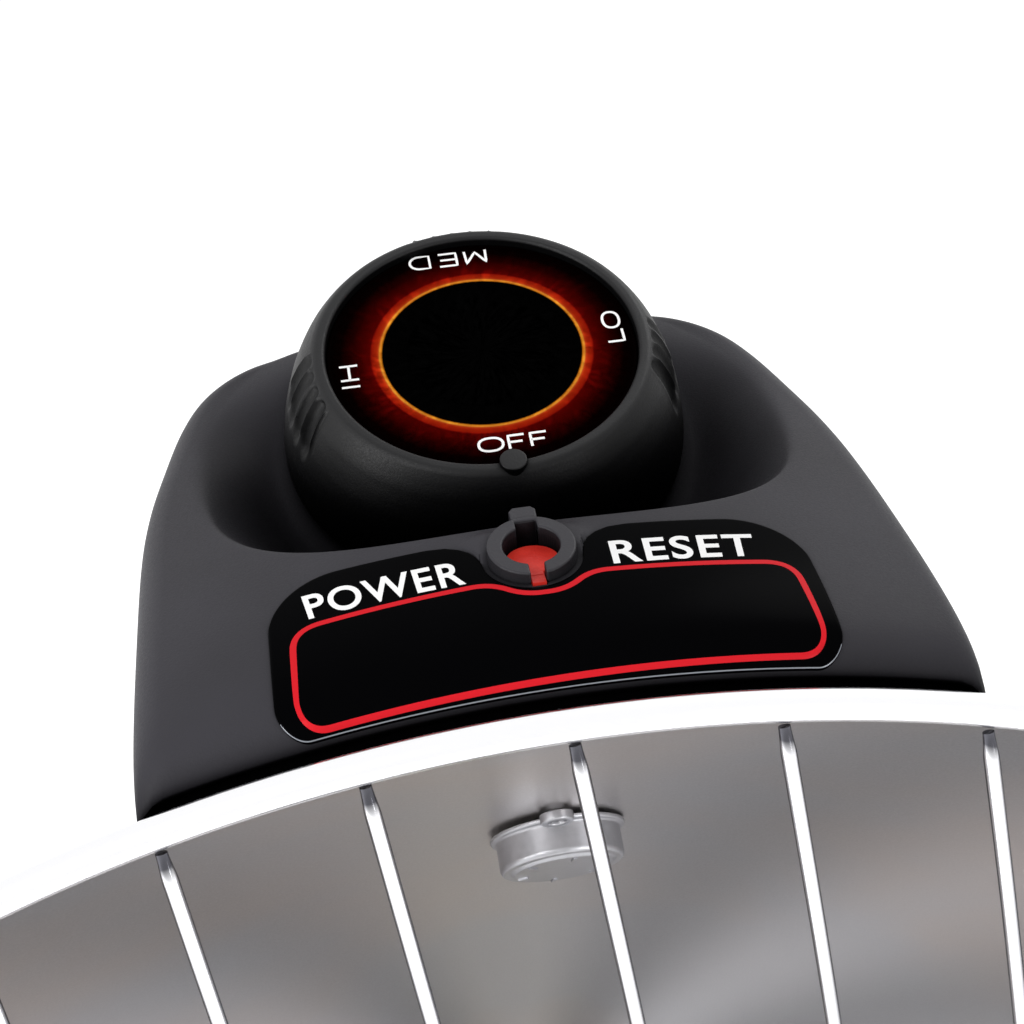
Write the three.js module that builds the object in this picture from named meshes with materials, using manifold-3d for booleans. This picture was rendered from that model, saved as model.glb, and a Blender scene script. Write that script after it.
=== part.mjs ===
// Parabolic heater: dish head with a control pod on top, carried on a round weighted base.
// Millimetres, +Z up, the dish faces -Y, X to the right seen from the front.
// The head is drawn in its own frame (origin at the centre of the rim plane) and put in place at the end.
import * as THREE from 'three';
import { mergeVertices } from 'three/addons/utils/BufferGeometryUtils.js';
import Module from 'manifold-3d';

const wasm = await Module();
wasm.setup();

// ---------------------------------------------------------------- driving dimensions
const HEAD_Y = -70;             // rim plane, in front of the base centre
const HEAD_Z = 290;             // dish centre above the floor
const GAP = 0.25;               // between pieces that are fixed together
const RUN = 0.3;                // running clearance of a turning or sliding fit

const RIM_R = 201.5;            // centre circle of the rolled rim
const RIM_ROLL = 2.2;           // half the thickness of the roll
const RIM_Y = -1;

const DISH_SEAT = 0.09;         // reflector's edge inside the roll
const DISH_R = RIM_R - Math.sqrt(RIM_ROLL ** 2 - RIM_Y ** 2) - DISH_SEAT;
const DISH_DEPTH = 110;         // rim plane to the vertex
const DISH_SHEET = 0.8;
const DISH_HOLE = 21;           // opening at the vertex for the element socket
const SHELL_SEAT = 0.55;        // rear shell's edge inside the reflector's
const SHELL_R = DISH_R - SHELL_SEAT;
const SHELL_SHEET = 1;
const SHELL_BACK_Y = DISH_DEPTH + 26;

const WIRE_D = 2.2;
const WIRE_PITCH = 26.4;
const WIRE_SHIFT = -2.4;        // the wires sit a little to one side of the centre
const GUARD_TURN = 7.1;         // degrees, the guard sits turned in the rim
const GUARD_R = RIM_R - RIM_ROLL - 0.3;
const GUARD_Y = -1.5;           // where the wires hook under the roll
const GUARD_BULGE = 6;
const CROSS_AT = 96;            // cross wires at the centre and this far above and below it

const POD_HALF = 56.2;
const POD_RISE = 8.5;           // crown above the rim's centre circle
const POD_R = RIM_R + POD_RISE; // crown of the pod, about the dish axis
const POD_FRONT_Y = 5;
const POD_BACK_Y = 116;
const POD_WALL = 2.5;
const RECESS = { y: 80.5, a: 46.3, b: 44, floor: 34.5 };

const KNOB = { y: 83.9, z: POD_R - 9.4, tilt: 21.9, top: 26.6, skirt: 31.3, height: 20 };
const DIAL_R = 24.6;
const STUD = { r: 2.1, out: 23.8, turn: 2, proud: 1.1 };
const SHAFT_D = 6;

const RING = { y: 27.5, outer: 6.1, hole: 3.95, top: POD_R + 1.7, slot: 2.1 };
const LABEL = { half: 37.2, front: POD_FRONT_Y + 1.1, back: RING.y + 5.7 };
const LENS_R = 3.1;

const PIVOT = { y: 105, z: 63.9 - SHELL_R, bolt: 8 };
const SPINE_HALF = 38;
const SPINE_BACK_Y = SHELL_BACK_Y + 16;

const BASE_R = 150;
const BASE_TOP = 42;
const BASE_WALL = 2.6;
const FOOT_H = 6;

// ---------------------------------------------------------------- solids
function clean(geometry) {
  const g = geometry.clone();
  g.deleteAttribute('normal');
  g.deleteAttribute('uv');
  const m = mergeVertices(g, 1e-4);
  const out = [];
  const ix = m.index.array;
  for (let i = 0; i < ix.length; i += 3) {
    if (ix[i] !== ix[i + 1] && ix[i + 1] !== ix[i + 2] && ix[i] !== ix[i + 2]) {
      out.push(ix[i], ix[i + 1], ix[i + 2]);
    }
  }
  m.setIndex(out);
  return m;
}

function solid(geometry) {
  const m = clean(geometry);
  let body = new wasm.Manifold(new wasm.Mesh({
    numProp: 3,
    vertProperties: new Float32Array(m.attributes.position.array),
    triVerts: new Uint32Array(m.index.array),
  }));
  if (body.volume() < 0) {
    const flipped = m.index.array.slice();
    for (let i = 0; i < flipped.length; i += 3) {
      const t = flipped[i];
      flipped[i] = flipped[i + 1];
      flipped[i + 1] = t;
    }
    body = new wasm.Manifold(new wasm.Mesh({
      numProp: 3,
      vertProperties: new Float32Array(m.attributes.position.array),
      triVerts: new Uint32Array(flipped),
    }));
  }
  return body;
}

const AXES = {
  x: new THREE.Matrix4().makeRotationZ(-Math.PI / 2),
  y: new THREE.Matrix4(),
  z: new THREE.Matrix4().makeRotationX(Math.PI / 2),
};

// A turned solid: profile of [radius, height] pairs about the named axis.
function turned(profile, axis = 'z', steps = 48) {
  const pts = profile.map(([r, h]) => new THREE.Vector2(r, h));
  const first = profile[0];
  const last = profile[profile.length - 1];
  if (first[0] > 0 || last[0] > 0) pts.push(pts[0].clone());
  return solid(new THREE.LatheGeometry(pts, steps).applyMatrix4(AXES[axis]));
}

function shapeOf(points) {
  return new THREE.Shape(points.map(([u, v]) => new THREE.Vector2(u, v)));
}

function flat(points, depth) {
  return new THREE.ExtrudeGeometry(shapeOf(points), { depth, bevelEnabled: false });
}

// Prisms: drawn in XY and raised along Z, drawn in YZ and run along X, drawn in XZ and run along Y.
function prismZ(points, z0, z1) {
  return solid(flat(points, z1 - z0)).translate([0, 0, z0]);
}

function prismX(points, x0, x1) {
  const turn = new THREE.Matrix4().makeBasis(
    new THREE.Vector3(0, 1, 0), new THREE.Vector3(0, 0, 1), new THREE.Vector3(1, 0, 0));
  return solid(flat(points, x1 - x0).applyMatrix4(turn)).translate([x0, 0, 0]);
}

function prismY(points, y0, y1) {
  const turn = new THREE.Matrix4().makeBasis(
    new THREE.Vector3(1, 0, 0), new THREE.Vector3(0, 0, 1), new THREE.Vector3(0, -1, 0));
  return solid(flat(points, y1 - y0).applyMatrix4(turn)).translate([0, y1, 0]);
}

// A round bar along a smooth line through the points.
function bar(points, radius, steps, sides = 6) {
  const curve = new THREE.CatmullRomCurve3(points.map((p) => new THREE.Vector3(...p)));
  const ring = [];
  for (let i = 0; i < sides; i += 1) {
    const a = (i / sides) * 2 * Math.PI;
    ring.push([radius * Math.cos(a), radius * Math.sin(a)]);
  }
  const settings = { steps, extrudePath: curve, bevelEnabled: false };
  return solid(new THREE.ExtrudeGeometry(shapeOf(ring), settings));
}

function pin(radius, h0, h1, axis = 'z', steps = 20) {
  return turned([[0, h0], [radius, h0], [radius, h1], [0, h1]], axis, steps);
}

function ringOf(inner, outer, h0, h1, axis = 'z', steps = 32) {
  return turned([[inner, h0], [outer, h0], [outer, h1], [inner, h1]], axis, steps);
}

function roundedBox(halfX, halfY, corner, steps = 5) {
  const pts = [];
  const centres = [[1, 1], [-1, 1], [-1, -1], [1, -1]];
  centres.forEach(([sx, sy], k) => {
    for (let i = 0; i <= steps; i += 1) {
      const a = (k + i / steps) * Math.PI / 2;
      pts.push([
        sx * (halfX - corner) + corner * Math.cos(a),
        sy * (halfY - corner) + corner * Math.sin(a),
      ]);
    }
  });
  return pts;
}

function ellipse(cx, cy, a, b, steps = 48) {
  const pts = [];
  for (let i = 0; i < steps; i += 1) {
    const t = (i / steps) * 2 * Math.PI;
    pts.push([cx + a * Math.cos(t), cy + b * Math.sin(t)]);
  }
  return pts;
}

// ---------------------------------------------------------------- dish
const DISH_STEPS = 46;

function dishLine(offset) {
  const line = [];
  for (let i = 0; i <= 7; i += 1) {
    const r = DISH_R + (DISH_HOLE - DISH_R) * (i / 7);
    line.push([r, DISH_DEPTH * (1 - (r / DISH_R) ** 2) + offset]);
  }
  return line;
}

function reflector() {
  const front = dishLine(0);
  const back = dishLine(DISH_SHEET).reverse();
  return turned([...front, ...back], 'y', DISH_STEPS);
}

function rimRing() {
  const profile = [];
  for (let i = 0; i < 8; i += 1) {
    const a = (i / 8) * 2 * Math.PI;
    profile.push([RIM_R + RIM_ROLL * Math.cos(a), RIM_Y + RIM_ROLL * Math.sin(a)]);
  }
  return turned(profile, 'y', DISH_STEPS);
}

const SHELL_LINE = [
  [1, 0.022], [0.948, 0.118], [0.818, 0.346], [0.694, 0.544], [0.553, 0.728], [0.402, 0.875],
  [0.171, 1],
].map(([r, y]) => [r * SHELL_R, y * SHELL_BACK_Y]);

function shellLine(offset) {
  return SHELL_LINE.map(([r, y], i) => {
    const a = SHELL_LINE[Math.max(0, i - 1)];
    const b = SHELL_LINE[Math.min(SHELL_LINE.length - 1, i + 1)];
    const tr = b[0] - a[0];
    const ty = b[1] - a[1];
    const n = Math.hypot(tr, ty);
    if (i === 0) return [r + offset, y];
    return [r + (offset * ty) / n, y - (offset * tr) / n];
  });
}

// Everything inside the outer face of the rear shell, grown by the offset.
function shellSolid(offset) {
  const line = shellLine(offset);
  const end = line[line.length - 1];
  return turned([[0, line[0][1]], ...line, [0, end[1]]], 'y', DISH_STEPS);
}

function rearShell() {
  const outer = shellLine(0);
  const inner = shellLine(-SHELL_SHEET).reverse();
  let shell = turned([...outer, ...inner], 'y', DISH_STEPS);
  for (let i = 0; i < 5; i += 1) {
    for (const side of [-1, 1]) {
      const a = side * (38 + i * 18);
      const slot = prismY(roundedBox(4, 16, 3.9, 2), 0.4 * SHELL_BACK_Y, SHELL_BACK_Y - 6)
        .translate([0, 0, 0.563 * SHELL_R])
        .rotate([0, a, 0]);
      shell = shell.subtract(slot);
    }
  }
  const wireWay = pin(9, 0.6 * SHELL_R, 1.2 * SHELL_R, 'z', 20).translate([0, 0.456 * SHELL_BACK_Y, 0]);
  return shell.subtract(wireWay);
}

// ---------------------------------------------------------------- guard
function wireReach(offset) {
  return Math.sqrt(GUARD_R ** 2 - (Math.abs(offset) + WIRE_D / 2) ** 2);
}

// How far forward a wire stands, at a distance in from its end.
function wireY(inward) {
  return GUARD_Y - GUARD_BULGE * Math.sin((Math.PI / 2) * Math.min(1, inward / 70));
}

function wireAt(offset) {
  const reach = wireReach(offset);
  const stops = [0, 10, 35, 75].filter((s) => s < reach - 8);
  const upper = stops.map((s) => [offset, wireY(s), reach - s]);
  const lower = upper.map(([x, y, z]) => [x, y, -z]).reverse();
  return bar([...upper, ...lower], WIRE_D / 2, stops.length * 2 + 1, 5);
}

function crossWire(z) {
  const half = Math.sqrt((GUARD_R - 7) ** 2 - z ** 2);
  const pts = [-1, -0.8, -0.5, 0.5, 0.8, 1].map((k) => {
    const x = k * half;
    return [x, wireY(wireReach(x) - Math.abs(z)) + WIRE_D * 0.5, z];
  });
  return bar(pts, WIRE_D / 2, 9, 5);
}

function wireGuard() {
  let guard = crossWire(0).add(crossWire(CROSS_AT)).add(crossWire(-CROSS_AT));
  const side = Math.floor((GUARD_R - 11) / WIRE_PITCH);
  for (let k = -side; k <= side; k += 1) guard = guard.add(wireAt(k * WIRE_PITCH + WIRE_SHIFT));
  return guard.rotate([0, -GUARD_TURN, 0]);
}

// ---------------------------------------------------------------- control pod
// How far the crown has fallen at each distance behind the front lip.
const POD_CROWN = [[7.7, 0], [6.4, 1], [3.6, 5.5], [1.6, 15], [0.7, 26], [0, 39]]
  .map(([fall, back]) => [POD_R - fall, POD_FRONT_Y + back]);
const POD_PLAN = [
  [1, 0], [1, 0.5], [0.986, 0.603], [0.95, 0.707], [0.9, 0.836], [0.84, 0.914], [0.73, 0.966],
  [0.587, 0.993], [0.356, 1],
].map(([x, y]) => [x * POD_HALF, y * POD_BACK_Y]);

function podBlock(inset) {
  const crown = POD_CROWN.map(([r, y]) => [r - inset, y + inset]);
  const back = POD_BACK_Y - inset;
  const body = turned([[0, crown[0][1]], ...crown, [POD_R - inset, back], [0, back]], 'y', 60);
  const plan = [];
  const squeeze = (POD_HALF - inset) / POD_HALF;
  for (const [x, y] of POD_PLAN) plan.push([x * squeeze, y < 0.52 * POD_BACK_Y ? y : y - inset]);
  const mirrored = plan.map(([x, y]) => [-x, y]).reverse();
  return body.intersect(prismZ([...plan, ...mirrored], 0.1 * POD_R, 1.1 * POD_R));
}

function floorAt(y, drop) {
  return KNOB.z - drop + (y - KNOB.y) * Math.tan(THREE.MathUtils.degToRad(KNOB.tilt));
}

// A closed body skinned over rings of equal count, each end closed to its middle.
function skinned(rings) {
  const n = rings[0].length;
  const middle = (ring) => [0, 1, 2].map((k) => ring.reduce((sum, q) => sum + q[k], 0) / n);
  const points = [...rings.flat(), middle(rings[0]), middle(rings[rings.length - 1])];
  const faces = [];
  for (let i = 0; i < n; i += 1) {
    const j = (i + 1) % n;
    for (let k = 0; k + 1 < rings.length; k += 1) {
      const a = k * n;
      faces.push(a + i, a + j, a + n + j, a + i, a + n + j, a + n + i);
    }
    const last = (rings.length - 1) * n;
    faces.push(points.length - 2, j, i, points.length - 1, last + i, last + j);
  }
  const g = new THREE.BufferGeometry();
  g.setAttribute('position', new THREE.Float32BufferAttribute(points.flat(), 3));
  g.setIndex(faces);
  return solid(g);
}

// The dished scoop: a round floor on the knob's slope, widening to an oval edge at the crown.
function recess(grow) {
  const floor = ellipse(0, KNOB.y, RECESS.floor + grow, RECESS.floor + grow)
    .map(([x, y]) => [x, y, floorAt(y, 0.9 + grow)]);
  const edge = ellipse(0, RECESS.y, RECESS.a + grow, RECESS.b + grow)
    .map(([x, y]) => [x, y, Math.sqrt(POD_R ** 2 - x ** 2)]);
  return skinned([floor, edge, edge.map(([x, y]) => [x, y, 1.15 * POD_R])]);
}

function pilotRing() {
  const low = RING.top - 6.7;
  const ring = ringOf(RING.hole, RING.outer, low, RING.top, 'z', 32);
  const block = prismZ([[-1.8, 4.5], [1.8, 4.5], [1.75, 8], [-1.75, 8]], low, RING.top + 1.3);
  return ring.add(block).translate([0, RING.y, 0]);
}

function lensSlot() {
  const w = RING.slot / 2;
  const slot = prismZ([[-w, -7], [w, -7], [w, -2], [-w, -2]], RING.top - 5.6, RING.top + 1);
  return slot.translate([0, RING.y, 0]);
}

function controlHousing() {
  const cavity = podBlock(POD_WALL).subtract(recess(POD_WALL));
  const seat = pin(RING.hole, RING.top - 22, RING.top + 18, 'z', 32).translate([0, RING.y, 0]);
  const shaftHole = knobPlaced(pin(SHAFT_D / 2 + RUN, -12, 6));
  return podBlock(0)
    .subtract(recess(0))
    .subtract(labelBed())
    .subtract(cavity)
    .subtract(seat)
    .add(pilotRing())
    .subtract(lensSlot())
    .subtract(shaftHole)
    .subtract(shellSolid(GAP));
}

// The label sits in a bed 0.5 deep that follows the crown.
function labelOutline(grow) {
  const w = LABEL.half + grow;
  const f = LABEL.front - grow;
  const b = LABEL.back + grow;
  const pts = [[-w + 6, f], [w - 6, f], [w - 1.7, f + 1.7], [w, f + 6], [w, b - 7], [w - 1.8, b - 2]];
  pts.push([w - 6, b]);
  const r = RING.outer + 0.9 - grow;
  pts.push([9.5 - grow, b], [8 - grow, b - 1.9]);
  for (let i = 0; i <= 8; i += 1) {
    const a = (0.04 + 0.92 * (i / 8)) * Math.PI;
    pts.push([r * Math.cos(a), RING.y - r * Math.sin(a)]);
  }
  pts.push([-8 + grow, b - 1.9], [-9.5 + grow, b]);
  pts.push([-w + 6, b], [-w + 1.8, b - 2], [-w, b - 7], [-w, f + 6], [-w + 1.7, f + 1.7]);
  return pts;
}

function crownSheet(low, high) {
  const body = (d) => {
    const crown = POD_CROWN.map(([r, y]) => [r + d, y]);
    return turned([[0, crown[0][1] - 2], [crown[0][0] - 1, crown[0][1] - 2], ...crown,
      [POD_R + d, 2 * RING.y], [0, 2 * RING.y]], 'y', 60);
  };
  return body(high).subtract(body(low));
}

function labelBed() {
  return crownSheet(-0.5, 3).intersect(prismZ(labelOutline(0.3), 0.7 * POD_R, 1.1 * POD_R));
}

function labelPlate() {
  return crownSheet(-0.3, 0.15).intersect(prismZ(labelOutline(0), 0.7 * POD_R, 1.1 * POD_R));
}

// ---------------------------------------------------------------- knob
function knobPlaced(body) {
  return body.rotate([KNOB.tilt, 0, 0]).translate([0, KNOB.y, KNOB.z]);
}

function knobShell() {
  const h = KNOB.height;
  let knob = turned([
    [0, h - 1], [DIAL_R + 0.3, h - 1], [DIAL_R + 0.3, h], [KNOB.top - 0.6, h], [KNOB.top, h - 0.7],
    [KNOB.top + 0.5, h - 4], [KNOB.top + 1.4, h - 11], [KNOB.top + 3, 4], [KNOB.skirt, 1.2],
    [KNOB.skirt, 0], [KNOB.skirt - 2, 0], [KNOB.top - 2.2, h - 4], [6, h - 4], [6, 2.2],
    [SHAFT_D / 2 + 0.1, 2.2], [SHAFT_D / 2 + 0.1, h - 4], [0, h - 4],
  ], 'z', 40);
  // Three grip pads of four small flutes each: behind, left and right of the stud.
  for (const pad of [92, 193, 351]) {
    for (const across of [-10.5, -3.5, 3.5, 10.5]) {
      const flute = pin(1.5, 0.3 * h, 0.9 * h, 'z', 8)
        .rotate([0, -9, 0])
        .translate([KNOB.top + 3, 0, 0])
        .rotate([0, 0, pad + across]);
      knob = knob.subtract(flute);
    }
  }
  return knobPlaced(knob.add(stud(STUD.r, h - 2, h + STUD.proud)));
}

function stud(radius, low, high) {
  return pin(radius, low, high, 'z', 20).translate([0, -STUD.out, 0]).rotate([0, 0, STUD.turn]);
}

function knobDial() {
  const h = KNOB.height;
  const hole = stud(STUD.r + RUN, h - 2, h + 1);
  return knobPlaced(pin(DIAL_R, h - 0.8, h - 0.1, 'z', 48).subtract(hole));
}

function knobShaft() {
  return knobPlaced(pin(SHAFT_D / 2, -17.5, KNOB.height - 4.3, 'z', 24));
}

function thermostatBody() {
  const box = prismZ(roundedBox(19, 15, 3), -30, -14);
  const collar = ringOf(SHAFT_D / 2 + RUN, 5, -18, -3.9, 'z', 24);
  const well = pin(SHAFT_D / 2 + RUN, -20, -10, 'z', 24);
  return knobPlaced(box.subtract(well).add(collar));
}

// ---------------------------------------------------------------- pilot and reset
const LENS_TOP = RING.top - 2.6;

function resetButton() {
  const stem = pin(1.6, LENS_TOP - 8, LENS_TOP - 1, 'z', 16);
  const tongue = prismZ(
    [[-0.8, -5.6], [0.8, -5.6], [0.8, -2], [-0.8, -2]], LENS_TOP - 1.2, LENS_TOP);
  const disc = pin(LENS_R, LENS_TOP - 1.4, LENS_TOP, 'z', 28);
  return disc.add(stem).add(tongue).translate([0, RING.y, 0]);
}

const SWITCH_TOP = LENS_TOP - 6.4;

function resetSwitch() {
  const box = prismZ(roundedBox(7, 5.5, 1), SWITCH_TOP - 11, SWITCH_TOP);
  const well = pin(1.6 + RUN, SWITCH_TOP - 8, SWITCH_TOP + 1, 'z', 16);
  return box.subtract(well).translate([0, RING.y, 0]);
}

// A wound wire about +Z: an even helix that runs straight on for one wire's thickness at each end.
function wound(radius, wire, loops, h0, h1, stepsPerLoop, sides) {
  const n = loops * stepsPerLoop;
  const rise = (h1 - h0) / n;
  const path = [];
  for (let i = 0; i <= n; i += 1) {
    const a = (i / stepsPerLoop) * 2 * Math.PI;
    path.push(new THREE.Vector3(radius * Math.cos(a), radius * Math.sin(a), h0 + rise * i));
  }
  path.unshift(path[0].clone().add(new THREE.Vector3(0, -2 * wire, 0)));
  path.push(path[n + 1].clone().add(new THREE.Vector3(0, 2 * wire, 0)));
  let least = Infinity;
  path.forEach((p, i) => path.slice(i + stepsPerLoop / 2).forEach((q) => {
    least = Math.min(least, p.distanceTo(q) - 2 * wire);
  }));
  console.log('least self-gap', least.toFixed(2));
  const ring = [];
  for (let i = 0; i < sides; i += 1) {
    const a = (i / sides) * 2 * Math.PI;
    ring.push([wire * Math.cos(a), wire * Math.sin(a)]);
  }
  const run = new THREE.CatmullRomCurve3(path);
  const settings = { steps: n + 2, extrudePath: run, bevelEnabled: false };
  return solid(new THREE.ExtrudeGeometry(shapeOf(ring), settings));
}

function resetSpring() {
  const low = SWITCH_TOP + 0.55;
  const high = LENS_TOP - 1.4 - 0.55;
  return wound(2.5, 0.25, 4, low, high, 12, 5).translate([0, RING.y, 0]);
}

// ---------------------------------------------------------------- heating element
const SOCKET_FACE = DISH_DEPTH - 14;
const CORE = { front: 6, back: SOCKET_FACE - 0.4, flange: 13.5, waist: 10.4, bore: 3 };
const SOCKET_BACK = DISH_DEPTH + 17;
const ROD_R = 2.5;
const POST_Z = 16.2;

function elementCore() {
  return turned([
    [CORE.bore, CORE.front], [CORE.flange, CORE.front], [CORE.flange, CORE.front + 3.5],
    [CORE.waist, CORE.front + 3.5], [CORE.waist, CORE.back - 3.5], [CORE.flange, CORE.back - 3.5],
    [CORE.flange, CORE.back], [CORE.bore, CORE.back],
  ], 'y', 24);
}

function elementCoil() {
  const wire = 0.9;
  const coil = wound(CORE.waist + 0.4 + wire, wire, 10, CORE.front + 7, CORE.back - 7.6, 16, 6);
  return coil.rotate([-90, 0, 0]);
}

function elementSocket() {
  const body = turned([
    [CORE.bore, SOCKET_FACE], [DISH_HOLE - 1.4, SOCKET_FACE], [DISH_HOLE - 1.4, DISH_DEPTH + 0.2],
    [DISH_HOLE + 6, DISH_DEPTH + 0.2], [DISH_HOLE + 6, DISH_DEPTH + 4.5],
    [DISH_HOLE - 1.4, DISH_DEPTH + 4.5], [DISH_HOLE - 1.4, SOCKET_BACK], [CORE.bore, SOCKET_BACK],
  ], 'y', 24);
  return body.subtract(pin(2.3, SOCKET_FACE - 16, SOCKET_BACK + 13, 'y', 16).translate([0, 0, POST_Z]));
}

function nutOf(bore, across, y0, y1) {
  const pts = [];
  for (let i = 0; i < 6; i += 1) {
    const a = (i / 6) * 2 * Math.PI;
    pts.push([across * Math.cos(a), across * Math.sin(a)]);
  }
  return prismY(pts, y0, y1).subtract(pin(bore, y0 - 1, y1 + 1, 'y', 20));
}

// ---------------------------------------------------------------- limit thermostat
function limitThermostat() {
  const r = 0.692 * DISH_R;
  const slope = (2 * DISH_DEPTH * r) / DISH_R ** 2;
  const lean = THREE.MathUtils.radToDeg(Math.atan(slope));
  const cap = turned([
    [0, -9.5], [9.6, -9.5], [11, -8.4], [11, -2.6], [13.4, -2.2], [13.4, -1.1], [0, -1.1],
  ], 'y', 24);
  return cap.rotate([lean, 0, 0]).translate([4, DISH_DEPTH * (1 - (r / DISH_R) ** 2), r]);
}

// ---------------------------------------------------------------- inside the pod
const PLATE_Z = POD_R - 50;

function innerPlate() {
  const half = POD_HALF - POD_WALL - 2.4;
  const back = POD_BACK_Y - 9;
  const plan = [[-half, back - 39], [half, back - 39], [half, back - 31], [0.88 * half, back - 8],
    [0.565 * half, back], [-0.565 * half, back], [-0.88 * half, back - 8], [-half, back - 31]];
  const way = pin(8, PLATE_Z - 10, PLATE_Z + 10).translate([0, back - 27, 0]);
  return prismZ(plan, PLATE_Z, PLATE_Z + 1.2).subtract(way);
}

function buzzer() {
  const can = turned([
    [0, 0], [11, 0], [11, 7.6], [10.2, 8.4], [3, 8.4], [3, 7], [0, 7],
  ], 'z', 28);
  return can.translate([-0.66 * POD_HALF, POD_BACK_Y - 30, PLATE_Z + 1.2 + GAP]);
}

function terminalBlock() {
  const z0 = PLATE_Z + 1.2 + GAP;
  let block = prismZ(roundedBox(8, 15, 1), z0, z0 + 12);
  for (const y of [-9, 0, 9]) {
    block = block.subtract(pin(2.4, z0 + 5, z0 + 13, 'z', 12).translate([0, y, 0]));
  }
  return block.translate([0.66 * POD_HALF, POD_BACK_Y - 30, 0]);
}

function pilotLamp() {
  const glass = pin(2, -5, 5, 'x', 16).translate([12.6, RING.y + 2, LENS_TOP - 8]);
  return glass;
}

// ---------------------------------------------------------------- back of the head
const SPINE_TOP = 0.4625 * SHELL_R;

function spineBlock(inset, low) {
  const half = SPINE_HALF - inset;
  const top = SPINE_TOP - inset;
  const outline = roundedBox(half, (top - low) / 2, 14 - inset).map(([x, z]) => [x, z + (top + low) / 2]);
  const back = SPINE_BACK_Y - inset;
  const front = 0.3 * SHELL_BACK_Y;
  const side = [[front, low], [back - 18, low], [back, low + 42], [back, top - 30],
    [back - 20, top], [front, top]];
  return prismY(outline, front, back).intersect(prismX(side, -1.5 * half, 1.5 * half));
}

const SPINE_LOW = PIVOT.z + 39;
const BUSH = { z: SPINE_LOW + 34, r: 6.2 };

function spineCover() {
  const hollow = spineBlock(2.5, SPINE_LOW + 2.5);
  return spineBlock(0, SPINE_LOW)
    .subtract(hollow)
    .subtract(pin(BUSH.r + 0.3, SPINE_BACK_Y - 32, SPINE_BACK_Y + 18, 'y', 24).translate([0, 0, BUSH.z]))
    .subtract(shellSolid(GAP))
    .subtract(podBlock(-GAP));
}

function cordBushing() {
  const y = SPINE_BACK_Y;
  const bush = turned([
    [3.8, y - 8], [BUSH.r, y - 8], [BUSH.r, y + 0.3], [9, y + 0.3], [8.4, y + 2.6], [3.8, y + 3.4],
  ], 'y', 24);
  return bush.translate([0, 0, BUSH.z]);
}

const BLOCK_HALF = 33;

function pivotBlock() {
  const side = [[-45, 38], [11, 38], [19, 17], [17, -6], [7, -16], [-9, -18], [-45, -15]]
    .map(([y, z]) => [PIVOT.y + y, PIVOT.z + z]);
  return prismX(side, -BLOCK_HALF, BLOCK_HALF)
    .subtract(pin(PIVOT.bolt / 2 + RUN, -60, 60, 'x', 20).translate([0, PIVOT.y, PIVOT.z]))
    .subtract(shellSolid(GAP))
    .subtract(spineBlock(-GAP, SPINE_LOW));
}

function carryHandle() {
  const z = POD_R - 60;
  const y = POD_BACK_Y + 0.4;
  const pts = [[-30, y + 3, z], [-30.5, y + 14, z + 1], [-27, y + 26, z + 2], [-14, y + 32, z + 3],
    [14, y + 32, z + 3], [27, y + 26, z + 2], [30.5, y + 14, z + 1], [30, y + 3, z]];
  const feet = [-30, 30].map((x) => pin(8.5, y - 0.1, y + 4, 'y', 24).translate([x, 0, z]));
  return bar(pts, 6, 16, 8).add(feet[0]).add(feet[1]);
}

function panHead(x, y, z) {
  return turned([[0, 0.2], [3.6, 0.2], [3.6, 1.2], [2.6, 2.2], [0, 2.4]], 'y', 14).translate([x, y, z]);
}

// ---------------------------------------------------------------- stand
const CHEEK_X = BLOCK_HALF + 2.6;
const CHEEK_OUT = CHEEK_X + 5;
const YOKE_FLOOR = BASE_TOP - HEAD_Z + 0.25;

function cheekOutline() {
  const pts = [];
  for (let i = 0; i <= 12; i += 1) {
    const a = (-8 + (196 * i) / 12) * Math.PI / 180;
    pts.push([PIVOT.y + 17 * Math.cos(a), PIVOT.z + 17 * Math.sin(a)]);
  }
  pts.push([PIVOT.y - 31, YOKE_FLOOR], [PIVOT.y + 33, YOKE_FLOOR]);
  return pts;
}

function yoke() {
  const outline = cheekOutline();
  const left = prismX(outline, -CHEEK_OUT, -CHEEK_X);
  const right = prismX(outline, CHEEK_X, CHEEK_OUT);
  const [near, far] = [PIVOT.y - 31, PIVOT.y + 33];
  const floor = prismZ([[-CHEEK_OUT, near], [CHEEK_OUT, near], [CHEEK_OUT, far], [-CHEEK_OUT, far]],
    YOKE_FLOOR, YOKE_FLOOR + 5);
  const bore = pin(PIVOT.bolt / 2 + GAP, -80, 80, 'x', 20).translate([0, PIVOT.y, PIVOT.z]);
  return floor.add(left).add(right).subtract(bore);
}

function pivotBolt() {
  const shank = pin(PIVOT.bolt / 2, -CHEEK_OUT - 1, CHEEK_OUT + 9, 'x', 20);
  const head = turned([
    [0, -CHEEK_OUT - 6], [6, -CHEEK_OUT - 5.4], [9, -CHEEK_OUT - 2.5], [9, -CHEEK_OUT - GAP],
    [0, -CHEEK_OUT - GAP],
  ], 'x', 20);
  return shank.add(head).translate([0, PIVOT.y, PIVOT.z]);
}

function pivotNut() {
  const hex = ellipse(0, 0, 8.5, 8.5, 6);
  const nut = prismX(hex, CHEEK_OUT + GAP, CHEEK_OUT + 7);
  const bore = pin(PIVOT.bolt / 2 + GAP, CHEEK_OUT, CHEEK_OUT + 8, 'x');
  return nut.subtract(bore).translate([0, PIVOT.y, PIVOT.z]);
}

function frictionWasher(side) {
  const w = ringOf(PIVOT.bolt / 2 + GAP, 15, BLOCK_HALF + GAP, CHEEK_X - GAP, 'x', 24);
  return (side < 0 ? w.mirror([1, 0, 0]) : w).translate([0, PIVOT.y, PIVOT.z]);
}

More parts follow.
